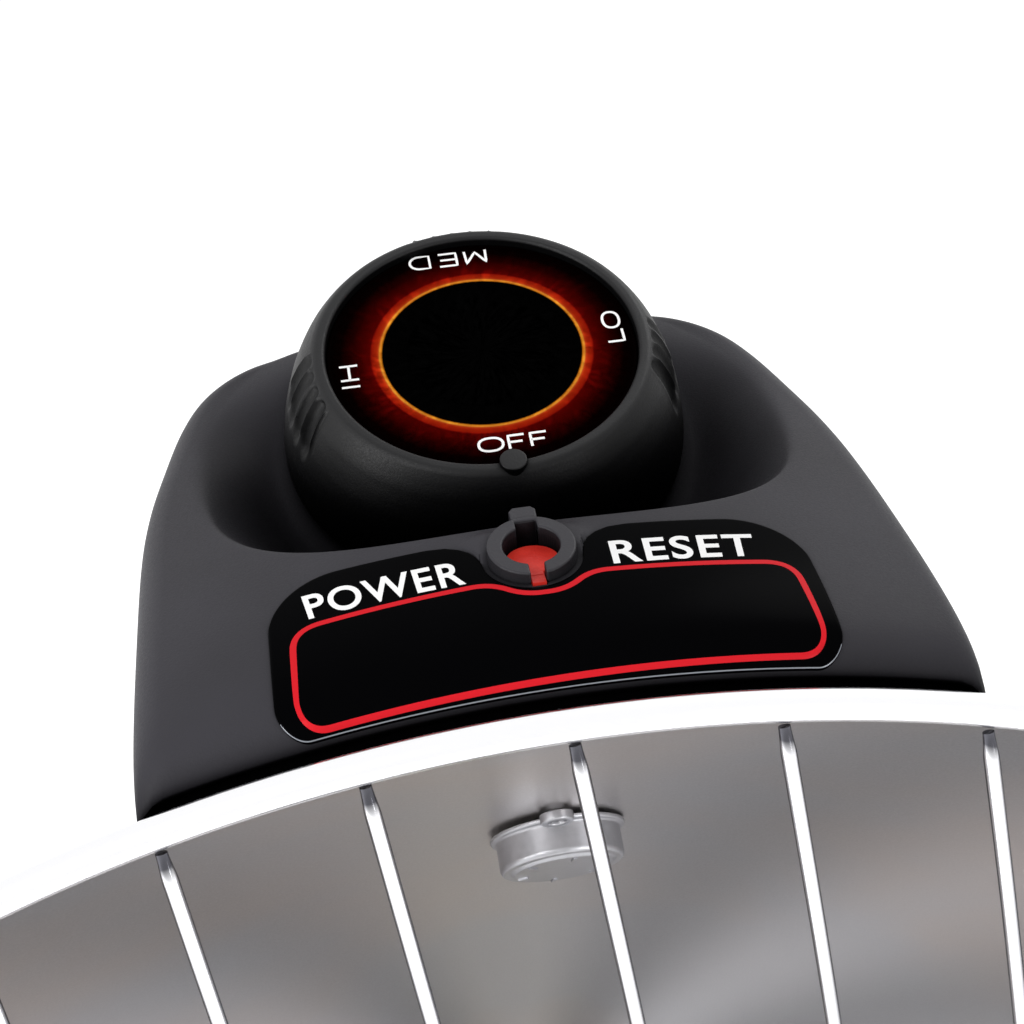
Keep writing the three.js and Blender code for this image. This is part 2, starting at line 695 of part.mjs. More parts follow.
function baseCover() {
  const line = [[0, 1], [0.587, 1], [0.813, 0.88], [0.953, 0.62], [1, 0.333]];
  const outer = line.map(([r, h]) => [r * BASE_R, h * BASE_TOP]);
  const inner = outer.map(([r, h], i) => [
    Math.max(0, r - BASE_WALL * [0, 0.15, 0.4, 0.8, 1][i]),
    h - BASE_WALL * [1, 1, 1, 0.6, 0.15][i],
  ]).reverse();
  const foot = FOOT_H + 1.2;
  return turned([...outer, [BASE_R, foot], [BASE_R - BASE_WALL, foot], ...inner], 'z', 48);
}

function basePlate() {
  return pin(BASE_R, FOOT_H - 1, FOOT_H + 0.9, 'z', 48);
}

function ballast() {
  return ringOf(0.213 * BASE_R, 0.747 * BASE_R, FOOT_H + 1.2, FOOT_H + 12, 'z', 24);
}

function foot(x, y) {
  return turned([
    [0, 0], [11, 0], [12.5, 1.2], [12.5, FOOT_H - 1 - GAP], [0, FOOT_H - 1 - GAP],
  ], 'z', 20).translate([x, y, 0]);
}

// ---------------------------------------------------------------- tip switch
const TIP_Z = BASE_TOP - 9;

function tipFrame() {
  const z0 = FOOT_H + 1.2;
  const top = TIP_Z + 4;
  const u = [[-13, z0], [13, z0], [13, top], [11, top], [11, z0 + 2], [-11, z0 + 2], [-11, top],
    [-13, top]];
  const hole = pin(1.5 + 0.1, -20, 20, 'x', 16).translate([0, 0, TIP_Z]);
  return prismY(u, -8, 8).subtract(hole);
}

function tipPin() {
  return pin(1.5, -14.5, 14.5, 'x', 16).translate([0, 0, TIP_Z]);
}

function tipPendulum() {
  const hub = ringOf(1.5 + RUN, 4, -5, 5, 'x', 20).translate([0, 0, TIP_Z]);
  const arm = prismZ([[-1.5, -1.5], [1.5, -1.5], [1.5, 1.5], [-1.5, 1.5]], TIP_Z - 13, TIP_Z - 2.6);
  const bob = pin(6.4, -7, 7, 'x', 28).translate([0, 0, TIP_Z - 15]);
  return hub.add(arm).add(bob);
}

function tipMicroswitch() {
  const z0 = FOOT_H + 1.2;
  return prismZ([[-9, 15], [9, 15], [9, 22], [-9, 22]], z0, z0 + 18);
}

const parts = [];
const HEAD = [0, HEAD_Y, HEAD_Z];

function put(name, body, color, offset = [0, 0, 0]) {
  const mesh = body.translate(offset).getMesh();
  const g = new THREE.BufferGeometry();
  g.setAttribute('position', new THREE.BufferAttribute(mesh.vertProperties, 3));
  g.setIndex(new THREE.BufferAttribute(mesh.triVerts, 1));
  g.computeVertexNormals();
  const m = new THREE.Mesh(g, new THREE.MeshStandardMaterial({ color }));
  m.name = name;
  parts.push(m);
}

put('reflector', reflector(), 0x9a9a9c, HEAD);
put('rim_ring', rimRing(), 0xf0f0f2, HEAD);
put('wire_guard', wireGuard(), 0xd8d8dc, HEAD);
put('rear_shell', rearShell(), 0x2c2c2f, HEAD);
put('control_housing', controlHousing(), 0x3f3e42, HEAD);
put('label_plate', labelPlate(), 0x08080a, HEAD);
put('knob_shell', knobShell(), 0x26262a, HEAD);
put('knob_dial', knobDial(), 0x101012, HEAD);
put('knob_shaft', knobShaft(), 0xc9c9cc, HEAD);
put('control_thermostat', thermostatBody(), 0x8c7a55, HEAD);
put('reset_button', resetButton(), 0xd8332b, HEAD);
put('reset_spring', resetSpring(), 0xc0c0c4, HEAD);
put('reset_switch', resetSwitch(), 0x1c1c1e, HEAD);
put('pilot_lamp', pilotLamp(), 0xe08a50, HEAD);
put('limit_thermostat', limitThermostat(), 0xb4b4b8, HEAD);
put('inner_plate', innerPlate(), 0xb0b4b8, HEAD);
put('buzzer', buzzer(), 0x161618, HEAD);
put('terminal_block', terminalBlock(), 0xe6e0d0, HEAD);
put('element_core', elementCore(), 0xe8e4da, HEAD);
put('element_coil', elementCoil(), 0x6b6866, HEAD);
put('element_socket', elementSocket(), 0xe4e0d4, HEAD);
put('element_rod', pin(ROD_R, 0.6, SOCKET_BACK + 11, 'y', 20), 0xbcbcc0, HEAD);
put('element_front_nut', nutOf(ROD_R + GAP, 7, 1.4, CORE.front - GAP), 0xc8c8cc, HEAD);
put('element_rear_nut', nutOf(ROD_R + GAP, 6, SOCKET_BACK + GAP, SOCKET_BACK + 4.5), 0xc8c8cc, HEAD);
const post = pin(2, SOCKET_FACE - 7, SOCKET_BACK + 11, 'y', 16).translate([0, 0, POST_Z]);
put('element_post', post, 0xbcbcc0, HEAD);
put('spine_cover', spineCover(), 0x2e2e31, HEAD);
put('cord_bushing', cordBushing(), 0x141415, HEAD);
put('pivot_block', pivotBlock(), 0x303033, HEAD);
put('carry_handle', carryHandle(), 0x232326, HEAD);
const SCREW_X = SPINE_HALF - 10;
const SCREW_HIGH = SPINE_TOP - 44;
const SCREW_LOW = SPINE_LOW + 52;
put('cover_screw_1', panHead(-SCREW_X, SPINE_BACK_Y, SCREW_HIGH), 0x909096, HEAD);
put('cover_screw_2', panHead(SCREW_X, SPINE_BACK_Y, SCREW_HIGH), 0x909096, HEAD);
put('cover_screw_3', panHead(-SCREW_X, SPINE_BACK_Y, SCREW_LOW), 0x909096, HEAD);
put('cover_screw_4', panHead(SCREW_X, SPINE_BACK_Y, SCREW_LOW), 0x909096, HEAD);
put('yoke', yoke(), 0x2a2a2d, HEAD);
put('pivot_bolt', pivotBolt(), 0xb8b8bc, HEAD);
put('pivot_nut', pivotNut(), 0xb8b8bc, HEAD);
put('friction_washer_left', frictionWasher(-1), 0x1a1a1b, HEAD);
put('friction_washer_right', frictionWasher(1), 0x1a1a1b, HEAD);
put('base_cover', baseCover(), 0x29292c);
put('base_plate', basePlate(), 0x70747a);
put('ballast', ballast(), 0x4a4a4c);
const FOOT_AT = 0.6 * BASE_R;
for (const [name, x, y] of [['front_left', -1, -1], ['front_right', 1, -1], ['rear_left', -1, 1],
  ['rear_right', 1, 1]]) put(`foot_${name}`, foot(x * FOOT_AT, y * FOOT_AT), 0x151516);
put('tip_frame', tipFrame(), 0xb0b4b8);
put('tip_pin', tipPin(), 0xc4c4c8);
put('tip_pendulum', tipPendulum(), 0xa89050);
put('tip_microswitch', tipMicroswitch(), 0x1c1c1e);

const group = new THREE.Group();
group.name = 'parabolic_heater';
for (const m of parts) group.add(m);
export default group;
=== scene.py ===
import bmesh
import bpy
import numpy as np
from mathutils import Matrix, Vector


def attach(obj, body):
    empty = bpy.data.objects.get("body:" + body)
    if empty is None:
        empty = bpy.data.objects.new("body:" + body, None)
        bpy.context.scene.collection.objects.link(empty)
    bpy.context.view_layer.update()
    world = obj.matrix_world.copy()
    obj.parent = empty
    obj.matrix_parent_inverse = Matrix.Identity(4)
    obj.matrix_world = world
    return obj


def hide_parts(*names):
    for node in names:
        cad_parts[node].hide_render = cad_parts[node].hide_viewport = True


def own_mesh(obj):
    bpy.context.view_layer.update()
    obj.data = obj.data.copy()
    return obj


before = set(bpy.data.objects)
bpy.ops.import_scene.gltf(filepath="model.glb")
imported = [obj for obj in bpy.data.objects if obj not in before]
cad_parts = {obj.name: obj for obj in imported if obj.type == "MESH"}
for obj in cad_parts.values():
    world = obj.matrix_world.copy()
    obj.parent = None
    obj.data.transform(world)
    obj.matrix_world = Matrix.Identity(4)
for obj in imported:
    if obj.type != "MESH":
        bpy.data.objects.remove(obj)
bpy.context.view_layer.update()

# The heater's head is drawn in millimetres in the dish's own frame: origin at the centre of the rim,
# the dish faces -Y, Z up. The pivot and base are drawn in the floor's frame.
HEAD = np.array([0.0, -70.0, 290.0])
FLOOR = np.zeros(3)

# ---------------------------------------------------------------------------- camera
# Found from the rim's two edges, the wires and the knob's rings: a long lens close above the rim.
camera = bpy.data.objects.new("camera", bpy.data.cameras.new("camera"))
bpy.context.scene.collection.objects.link(camera)
camera.data.sensor_width = 36.0
camera.data.lens = 61.08
camera.data.clip_start = 0.01
camera.matrix_world = Matrix((
    (0.98626, 0.13140, -0.10011, -0.02614),
    (-0.15104, 0.47181, -0.86867, -0.244377),
    (-0.06691, 0.87185, 0.48517, 0.61946),
    (0.0, 0.0, 0.0, 1.0)))
bpy.context.scene.camera = camera
bpy.context.scene.view_settings.view_transform = "Standard"


# ---------------------------------------------------------------------------- floor and light
# A pale studio floor under a white surround. Two broad lamps stand left in front and right behind, two
# small low ones pick out the knob's edges, and the surround fills the rest.
def linear(colour):
    """sRGB hex to linear RGBA: c / 12.92 below 0.04045, else ((c + 0.055) / 1.055) to the 2.4."""
    c = np.array([int(colour[i:i + 2], 16) for i in (1, 3, 5)]) / 255.0
    c = np.where(c <= 0.04045, c / 12.92, ((c + 0.055) / 1.055) ** 2.4)
    return (*c.tolist(), 1.0)


def add(tree, kind, settings=None, links=None):
    """Adds a node, sets its attributes or input values by name, and links outputs to its inputs."""
    node = tree.nodes.new("ShaderNode" + kind)
    for key, value in (settings or {}).items():
        if isinstance(key, int) or key in node.inputs:
            node.inputs[key].default_value = value
        else:
            setattr(node, key, value)
    for key, source in (links or {}).items():
        tree.links.new(source, node.inputs[key])
    return node


def finish(name):
    """A new material with an empty tree, returned as (material, tree, object coordinates)."""
    material = bpy.data.materials.new(name)
    material.use_nodes = True
    tree = material.node_tree
    tree.nodes.clear()
    return material, tree, add(tree, "TexCoord").outputs["Object"]


def surfaced(material, tree, shader):
    """Puts the finished shader on the material's surface and returns the material."""
    tree.links.new(shader.outputs[0], add(tree, "OutputMaterial").inputs["Surface"])
    return material


def seen(tree):
    """1 for a ray from the camera, a mirror or clear glass, and 0 for one that only lights."""
    path = add(tree, "LightPath").outputs
    direct = add(tree, "Math", {"operation": "MAXIMUM"}, {0: path["Is Camera Ray"], 1: path["Is Glossy Ray"]})
    return add(tree, "Math", {"operation": "MAXIMUM"},
               {0: direct.outputs[0], 1: path["Is Transmission Ray"]}).outputs[0]


def pale_floor():
    """Matt pale paint. The camera and mirrors see a little light of its own, so it reads white."""
    material, tree, place = finish("pale_floor_paint")
    noise = add(tree, "TexNoise", {"Scale": 3.0}, {"Vector": place})
    tone = add(tree, "Mix", {"data_type": "RGBA", 6: linear("#f0f0f0"), 7: linear("#f6f6f6")},
               {0: noise.outputs["Fac"]})
    paint = add(tree, "BsdfDiffuse", None, {"Color": tone.outputs[2]})
    own_light = add(tree, "Math", {"operation": "MULTIPLY", 1: 0.5}, {0: seen(tree)})
    glow = add(tree, "Emission", {"Color": (1, 1, 1, 1)}, {"Strength": own_light.outputs[0]})
    return surfaced(material, tree, add(tree, "AddShader", None, {0: paint.outputs[0], 1: glow.outputs[0]}))


floor_mesh = bpy.data.meshes.new("floor")
floor_mesh.from_pydata([(-6, -6, 0), (6, -6, 0), (6, 9, 0), (-6, 9, 0)], [], [(0, 1, 2, 3)])
floor_mesh.materials.append(pale_floor())
floor = bpy.data.objects.new("floor", floor_mesh)
bpy.context.scene.collection.objects.link(floor)

world = bpy.data.worlds.new("studio")
bpy.context.scene.world = world
world.use_nodes = True
world.node_tree.nodes.clear()
sky_level = add(world.node_tree, "MapRange", {"To Min": 0.55, "To Max": 1.0}, {"Value": seen(world.node_tree)})
sky = add(world.node_tree, "Background", {"Color": (1, 1, 1, 1)}, {"Strength": sky_level.outputs[0]})
world.node_tree.links.new(sky.outputs[0], world.node_tree.nodes.new("ShaderNodeOutputWorld").inputs[0])

LAMP_AIM = np.array([0.0, -0.02, 0.48])
for name, place, size, watts in (("lamp_left_front", (-1.3, -1.1, 1.5), 0.9, 15.0),
                                 ("lamp_right_back", (1.2, 1.0, 1.9), 1.2, 10.0),
                                 ("lamp_left_low", (-1.4, -0.5, 0.62), 0.4, 9.0),
                                 ("lamp_right_low", (1.0, -1.4, 0.66), 0.4, 6.0)):
    lamp = bpy.data.objects.new(name, bpy.data.lights.new(name, "AREA"))
    lamp.data.shape = "DISK"
    lamp.data.size = size
    lamp.data.energy = watts
    turn = Vector(LAMP_AIM - place).to_track_quat("-Z", "Y").to_matrix().to_4x4()
    lamp.matrix_world = Matrix.Translation(place) @ turn
    bpy.context.scene.collection.objects.link(lamp)


# ---------------------------------------------------------------------------- reflector
# A dish spun from thin aluminium and left satin: it mirrors softly and shows faint rolling grain.
# It is held at its rim by the rolled ring and at its centre by the element's socket.
DISH_R, DISH_DEPTH, DISH_SHEET, DISH_HOLE = 199.45, 110.0, 0.8, 21.0


def turned(profile, axis, steps):
    """Grid of points: each [radius, height] of the profile is carried round the axis."""
    r, h = np.asarray(profile, float).T
    a = np.linspace(0, 2 * np.pi, steps, endpoint=False)
    c, s, up = np.outer(np.cos(a), r), np.outer(np.sin(a), r), np.broadcast_to(h, (steps, len(h)))
    order = {"x": (up, c, s), "y": (s, up, c), "z": (c, s, up)}[axis]
    return np.stack(order, -1)


def eased(profile, cut, steps=5, closed=True):
    """Each corner becomes a parabola that leaves its two sides at the cut's distance."""
    p = np.asarray(profile, float)
    before, after = np.roll(p, 1, 0), np.roll(p, -1, 0)
    la = np.linalg.norm(before - p, axis=1, keepdims=True) + 1e-9
    lb = np.linalg.norm(after - p, axis=1, keepdims=True) + 1e-9
    room = np.minimum(cut, 0.45 * np.minimum(la, lb))
    if not closed:
        room[0] = room[-1] = 0
    a, b = p + (before - p) / la * room, p + (after - p) / lb * room
    t = np.linspace(0, 1, steps)[None, :, None]
    out = (1 - t) ** 2 * a[:, None] + 2 * t * (1 - t) * p[:, None] + t ** 2 * b[:, None]
    return out.reshape(-1, p.shape[1])


def quads(grid, wrap_u=False, wrap_v=False):
    """Points and faces of a grid: one quad between each four neighbours, joined round where wrapped."""
    nu, nv = grid.shape[:2]
    index = np.arange(nu * nv).reshape(nu, nv)
    if wrap_u:
        index = np.vstack([index, index[:1]])
    if wrap_v:
        index = np.hstack([index, index[:, :1]])
    faces = np.stack([index[:-1, :-1], index[1:, :-1], index[1:, 1:], index[:-1, 1:]], -1)
    return grid.reshape(-1, 3), faces.reshape(-1, 4)


def spun(profile, axis, steps, at=(0, 0, 0), ring=True):
    """The shell of a profile turned round the axis and moved: a closed ring, or a solid that ends on it."""
    return quads(turned(profile, axis, steps) + np.asarray(at, float), True, ring)


def merged(name, shells, place):
    """A mesh from closed shells given in millimetres: doubles merged, faces turned outward."""
    starts = np.cumsum([0] + [len(p) for p, _ in shells[:-1]])
    faces = [(np.asarray(f) + start).tolist() for (_, fs), start in zip(shells, starts) for f in fs]
    mesh = bpy.data.meshes.new(name)
    mesh.from_pydata(((np.vstack([p for p, _ in shells]) + place) * 0.001).tolist(), [], faces)
    work = bmesh.new()
    work.from_mesh(mesh)
    bmesh.ops.remove_doubles(work, verts=work.verts, dist=2e-6)
    bmesh.ops.recalc_face_normals(work, faces=work.faces)
    work.to_mesh(mesh)
    work.free()
    return mesh


def placed(name, mesh, body, nodes, material, crease):
    """An object of the mesh in its finish, smooth below the crease angle, riding on its body."""
    mesh.polygons.foreach_set("use_smooth", np.ones(len(mesh.polygons), bool))
    mesh.set_sharp_from_angle(angle=np.radians(crease))
    mesh.materials.append(material)
    made = bpy.data.objects.new(name, mesh)
    bpy.context.scene.collection.objects.link(made)
    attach(made, body)
    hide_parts(*nodes)
    return made


def piece(name, shells, body, nodes, material, place=HEAD, crease=32.0):
    """One finished piece from closed shells in millimetres about the place."""
    return placed(name, merged(name, shells, place), body, nodes, material, crease)


def satin_aluminium():
    """Spun aluminium, satin: metal of middling gloss, a 0.4 mm rolling grain, slow warm patches, and
    painted highlights and shade: soft light and dark fans round the axis, painted into the colour."""
    material, tree, place = finish("spun_aluminium_satin")
    grain = add(tree, "TexNoise", {"Scale": 2500.0, "Detail": 2.0}, {"Vector": place})
    slow = add(tree, "TexNoise", {"Scale": 14.0, "Detail": 3.0}, {"Vector": place})
    warm = add(tree, "MapRange", {"From Min": 0.42, "From Max": 0.68}, {"Value": slow.outputs["Fac"]})
    tone = add(tree, "Mix", {"data_type": "RGBA", 6: linear("#bcbcbf"), 7: linear("#c4bcb8")},
               {0: warm.outputs[0]})
    # Painted highlights and shade: nine light and dark fans to a turn scale the colour.
    part = add(tree, "SeparateXYZ", None, {0: place})
    level = add(tree, "Math", {"operation": "SUBTRACT", 1: 0.29}, {0: part.outputs["Z"]})
    angle = add(tree, "Math", {"operation": "ARCTAN2"}, {0: level.outputs[0], 1: part.outputs["X"]})
    turn = add(tree, "Math", {"operation": "MULTIPLY_ADD", 1: 9.0, 2: -0.314}, {0: angle.outputs[0]})
    painted_fans = add(tree, "MapRange", {"From Min": -1.0, "From Max": 1.0, "To Min": 0.66, "To Max": 1.1},
              {"Value": add(tree, "Math", {"operation": "SINE"}, {0: turn.outputs[0]}).outputs[0]})
    painted_fan_colour = add(tree, "VectorMath", {"operation": "SCALE"}, {0: tone.outputs[2], "Scale": painted_fans.outputs[0]})
    gloss = add(tree, "MapRange", {"From Min": 0.3, "From Max": 0.7, "To Min": 0.3, "To Max": 0.42},
                {"Value": grain.outputs["Fac"]})
    bump = add(tree, "Bump", {"Strength": 0.12, "Distance": 0.0002}, {"Height": grain.outputs["Fac"]})
    shader = add(tree, "BsdfPrincipled", {"Metallic": 1.0},
                 {"Base Color": painted_fan_colour.outputs[0], "Roughness": gloss.outputs[0], "Normal": bump.outputs[0]})
    return surfaced(material, tree, shader)


r_dish = np.linspace(DISH_R, DISH_HOLE, 72)
y_dish = DISH_DEPTH * (1 - (r_dish / DISH_R) ** 2)
dish = np.vstack([np.stack([r_dish, y_dish], -1), np.stack([r_dish, y_dish + DISH_SHEET], -1)[::-1]])
dish_aluminium = satin_aluminium()
piece("reflector_dish", [spun(dish, "y", 320)], "head", ["reflector"],
      dish_aluminium)


# ---------------------------------------------------------------------------- rolled rim
# The dish's edge: a polished steel ring, rolled round the reflector and the rear shell.
RIM_R, RIM_ROLL, RIM_Y = 201.5, 2.2, -1.0


def polished_steel(name, colour, gloss):
    """Bright plated steel: a clear mirror with faint polishing haze about 2 mm apart."""
    material, tree, place = finish(name)
    haze = add(tree, "TexNoise", {"Scale": 500.0, "Detail": 3.0}, {"Vector": place})
    rough = add(tree, "MapRange", {"From Min": 0.3, "From Max": 0.7, "To Min": gloss, "To Max": gloss + 0.06},
                {"Value": haze.outputs["Fac"]})
    bump = add(tree, "Bump", {"Strength": 0.03, "Distance": 0.0001}, {"Height": haze.outputs["Fac"]})
    shader = add(tree, "BsdfPrincipled", {"Metallic": 1.0, "Base Color": linear(colour)},
                 {"Roughness": rough.outputs[0], "Normal": bump.outputs[0]})
    return surfaced(material, tree, shader)


def circle(radius, angles):
    """Points on a circle about the origin at the angles."""
    return radius * np.stack([np.cos(angles), np.sin(angles)], -1)


roll = circle(RIM_ROLL, np.linspace(0, 2 * np.pi, 24, endpoint=False)) + [RIM_R, RIM_Y]
piece("rim_roll", [spun(roll, "y", 400)], "head", ["rim_ring"],
      polished_steel("polished_rim_steel", "#fdfdff", 0.16), crease=180)


# ---------------------------------------------------------------------------- wire guard
# Fifteen upright wires, plated bright, hooked under the rim with their ends pressed flat, and three
# cross wires welded behind them. The guard domes forward and sits a little turned in the rim.
WIRE_D, WIRE_PITCH, WIRE_SHIFT, GUARD_TURN = 2.2, 26.4, -2.4, np.radians(7.1)
GUARD_R, GUARD_Y, GUARD_BULGE, GUARD_RISE, PRESSED_END = 199.0, -1.5, 6.0, 70.0, 4.5
CROSS_AT, CROSS_R = 96.0, 192.0


def wire_depth(inward):
    """How far forward a wire stands: a quarter sine over the first 70 mm, then level."""
    return GUARD_Y - GUARD_BULGE * np.sin(np.pi / 2 * np.clip(inward / GUARD_RISE, 0, 1))


def tube(path, side, wide, thick, sides=16):
    """An ellipse carried along a path: wide along the side vector, thick across it, ends closed."""
    along = np.gradient(path, axis=0)
    along /= np.linalg.norm(along, axis=1, keepdims=True)
    side = np.broadcast_to(side, path.shape)
    over = np.cross(along, side)
    over /= np.linalg.norm(over, axis=1, keepdims=True)
    a = np.linspace(0, 2 * np.pi, sides, endpoint=False)
    wide = np.broadcast_to(wide, len(path))[:, None, None]
    thick = np.broadcast_to(thick, len(path))[:, None, None]
    ring = (path[:, None] + wide * np.cos(a)[None, :, None] * side[:, None]
            + thick * np.sin(a)[None, :, None] * over[:, None])
    tips = np.repeat(path[[0, -1], None], sides, 1)
    return quads(np.concatenate([tips[:1], ring, tips[1:]]), False, True)


def step(t):
    """Smooth step: 3 t squared less 2 t cubed between 0 and 1."""
    t = np.clip(t, 0, 1)
    return t * t * (3 - 2 * t)


def upright(x):
    """One upright wire at x, from rim to rim, its last few millimetres pressed flat."""
    reach = np.sqrt(GUARD_R ** 2 - (abs(x) + WIRE_D / 2) ** 2)
    inward = np.concatenate([np.linspace(0, 9, 19), np.linspace(10, min(80, reach), 36)])
    z = np.concatenate([reach - inward, [0.0]])
    z = np.concatenate([z, -z[-2::-1]])
    path = np.stack([np.full_like(z, x), wire_depth(reach - np.abs(z)), z], -1)
    pinch = 1 - step((reach - np.abs(z)) / PRESSED_END)
    return tube(path, np.array([1.0, 0, 0]), WIRE_D / 2 * (1 - 0.25 * pinch), WIRE_D / 2 * (1 - 0.5 * pinch))


def cross(z):
    """One cross wire at height z, welded just behind the upright wires."""
    half = np.sqrt(CROSS_R ** 2 - z ** 2)
    x = np.linspace(-half, half, 120)
    reach = np.sqrt(GUARD_R ** 2 - (np.abs(x) + WIRE_D / 2) ** 2)
    path = np.stack([x, wire_depth(reach - abs(z)) + WIRE_D * 0.8, np.full_like(x, z)], -1)
    return tube(path, np.array([0, 0, 1.0]), WIRE_D / 2, WIRE_D / 2, 12)


def plated_wire():
    """Bright plated wire, its shade painted in: white along the middle, darker to each side by the facing
    of the round, and dull grey over the last 3 mm where the pressed ends turn under the rim."""
    material, tree, place = finish("plated_guard_wire")
    # Painted shade: grey to each side by the facing, and grey on the pressed ends past 195.3 mm out.
    facing = add(tree, "LayerWeight", {"Blend": 0.5}).outputs["Facing"]
    side = add(tree, "MapRange", {"From Min": 0.3, "From Max": 0.62}, {"Value": facing})
    flat = add(tree, "VectorMath", {"operation": "MULTIPLY_ADD", 1: (1, 0, 1), 2: (0, 0, -0.29)}, {0: place})
    far = add(tree, "VectorMath", {"operation": "LENGTH"}, {0: flat.outputs[0]})
    end = add(tree, "MapRange", {"From Min": 0.1953, "From Max": 0.197}, {"Value": far.outputs["Value"]})
    wire_painted_shade = add(tree, "Math", {"operation": "MAXIMUM"}, {0: side.outputs[0], 1: end.outputs[0]})
    tone = add(tree, "Mix", {"data_type": "RGBA", 6: linear("#f4f4f7"), 7: linear("#58585e")},
               {0: wire_painted_shade.outputs[0]})
    haze = add(tree, "TexNoise", {"Scale": 500.0, "Detail": 3.0}, {"Vector": place})
    rough = add(tree, "MapRange", {"To Min": 0.1, "To Max": 0.2}, {"Value": haze.outputs["Fac"]})
    shader = add(tree, "BsdfPrincipled", {"Metallic": 1.0},
                 {"Base Color": tone.outputs[2], "Roughness": rough.outputs[0]})
    return surfaced(material, tree, shader)


lean = np.array([[np.cos(GUARD_TURN), 0, np.sin(GUARD_TURN)], [0, 1, 0],
                 [-np.sin(GUARD_TURN), 0, np.cos(GUARD_TURN)]])
wires = [upright(k * WIRE_PITCH + WIRE_SHIFT) for k in range(-7, 8)]
wires += [cross(z) for z in (-CROSS_AT, 0.0, CROSS_AT)]
wires = [(p @ lean, f) for p, f in wires]
piece("guard_wires", wires, "head", ["wire_guard"], plated_wire(), crease=60)


# ---------------------------------------------------------------------------- rear shell
# A pressed steel bowl behind the reflector, painted satin black, with two fans of vent slots cut
# through its upper back.
SHELL_LINE = np.array([[198.9, 3.0], [188.6, 16], [162.7, 47], [138.0, 74], [110.0, 99], [80.0, 119], [34, 136]])
SHELL_SHEET, SLOT_R, SLOT_HALF, SLOT_AT = 1.0, 4.0, 12.0, 112.0


def smooth_path(points, steps):
    """A smooth line through the points: each span is the cubic whose slope at a point is half the chord
    of that point's neighbours."""
    p = np.asarray(points, float)
    p = np.vstack([2 * p[0] - p[1], p, 2 * p[-1] - p[-2]])
    t = np.linspace(0, 1, steps, endpoint=False)[None, :, None]
    a, b, c, d = (p[i:len(p) - 3 + i, None] for i in range(4))
    span = 0.5 * (2 * b + (c - a) * t + (2 * a - 5 * b + 4 * c - d) * t ** 2
                  + (3 * b - a - 3 * c + d) * t ** 3)
    return np.vstack([span.reshape(-1, p.shape[1]), p[-2]])


def satin_paint(name, colour):
    """Sprayed enamel on steel, satin black: fine orange peel about 1 mm across."""
    material, tree, place = finish(name)
    peel = add(tree, "TexNoise", {"Scale": 900.0, "Detail": 2.0}, {"Vector": place})
    rough = add(tree, "MapRange", {"To Min": 0.34, "To Max": 0.5}, {"Value": peel.outputs["Fac"]})
    bump = add(tree, "Bump", {"Strength": 0.15, "Distance": 0.0001}, {"Height": peel.outputs["Fac"]})
    shader = add(tree, "BsdfPrincipled", {"Base Color": linear(colour), "IOR": 1.5},
                 {"Roughness": rough.outputs[0], "Normal": bump.outputs[0]})
    return surfaced(material, tree, shader)


def cut(target, shells):
    """Takes closed shells away from a piece with an exact boolean, applied at once."""
    cutter = bpy.data.objects.new("cutter", merged("cutter", shells, HEAD))
    bpy.context.scene.collection.objects.link(cutter)
    change = target.modifiers.new("cut", "BOOLEAN")
    change.operation, change.solver, change.object = "DIFFERENCE", "EXACT", cutter
    target.data = bpy.data.meshes.new_from_object(target.evaluated_get(bpy.context.evaluated_depsgraph_get()))
    target.modifiers.clear()
    bpy.data.objects.remove(cutter)


def prism(outline, low, high, axis="z"):
    """A flat outline raised between two heights along the axis, with a whole face at each end."""
    p = np.asarray(outline, float)
    n = len(p)
    ends = [np.column_stack([p, np.full(n, h)]) for h in (low, high)]
    points = np.vstack(ends)
    if axis == "x":
        points = points[:, [2, 0, 1]]
    if axis == "y":
        points = points[:, [0, 2, 1]]
    side = np.arange(n)
    walls = np.stack([side, np.roll(side, -1), np.roll(side, -1) + n, side + n], -1).tolist()
    return points, walls + [list(range(n))[::-1], list(range(n, 2 * n))]


shell_out = smooth_path(SHELL_LINE, 10)
shell_way = np.gradient(shell_out, axis=0)
shell_way /= np.linalg.norm(shell_way, axis=1, keepdims=True)
shell_in = shell_out - SHELL_SHEET * np.column_stack([shell_way[:, 1], -shell_way[:, 0]])
shell = np.vstack([shell_out, shell_in[::-1]])
black_enamel = satin_paint("satin_black_enamel", "#29292c")
rear = piece("rear_bowl", [spun(shell, "y", 240)], "head", ["rear_shell"],
             black_enamel)
slot_turns = np.radians([s * (38 + i * 18) for i in range(5) for s in (-1, 1)])
end = np.radians(np.linspace(0, 360, 24, endpoint=False))
side = np.sign(np.sin(end)) * (np.abs(np.sin(end)) > 1e-9)
slot = circle(SLOT_R, end) + np.stack([0 * end, SLOT_HALF * side + SLOT_AT], -1)
slots = []
for a in slot_turns:
    points, faces = prism(slot, 60, 130, "y")
    spin = np.array([[np.cos(a), 0, -np.sin(a)], [0, 1, 0], [np.sin(a), 0, np.cos(a)]])
    slots.append((points @ spin, faces))
cut(rear, slots)


# ---------------------------------------------------------------------------- control pod
# A moulded charcoal plastic pod that sits on the rim. Its crown turns about the dish's axis and
# drops to a sharp front lip with an undercut below; a dished scoop is sunk in it for the knob, and a
# raised keyhole ring for the lens grows out of the strip between the scoop and the label.
POD_HALF, POD_LIP_Y, POD_EDGE = 56.2, 5.0, 4.5
POD_PLAN = [[POD_HALF, -60], [POD_HALF, 0], [POD_HALF, 30], [POD_HALF, 56], [55.4, 70], [53.6, 82], [50.8, 96],
            [47.2, 105], [41, 111.2], [33, 114.6], [20, 116], [0, 116.4]]
SCOOP_Y, SCOOP_A, SCOOP_B, SCOOP_FLOOR_R = 80.5, 46.3, 44.0, 34.5
KNOB_Y, KNOB_Z, KNOB_TILT = 83.9, 200.6, np.radians(21.9)
RING_X, RING_Y, RING_OUT, RING_HOLE, RING_TOP, RING_SLOT = -0.6, 27.5, 6.1, 3.95, 211.7, 2.1
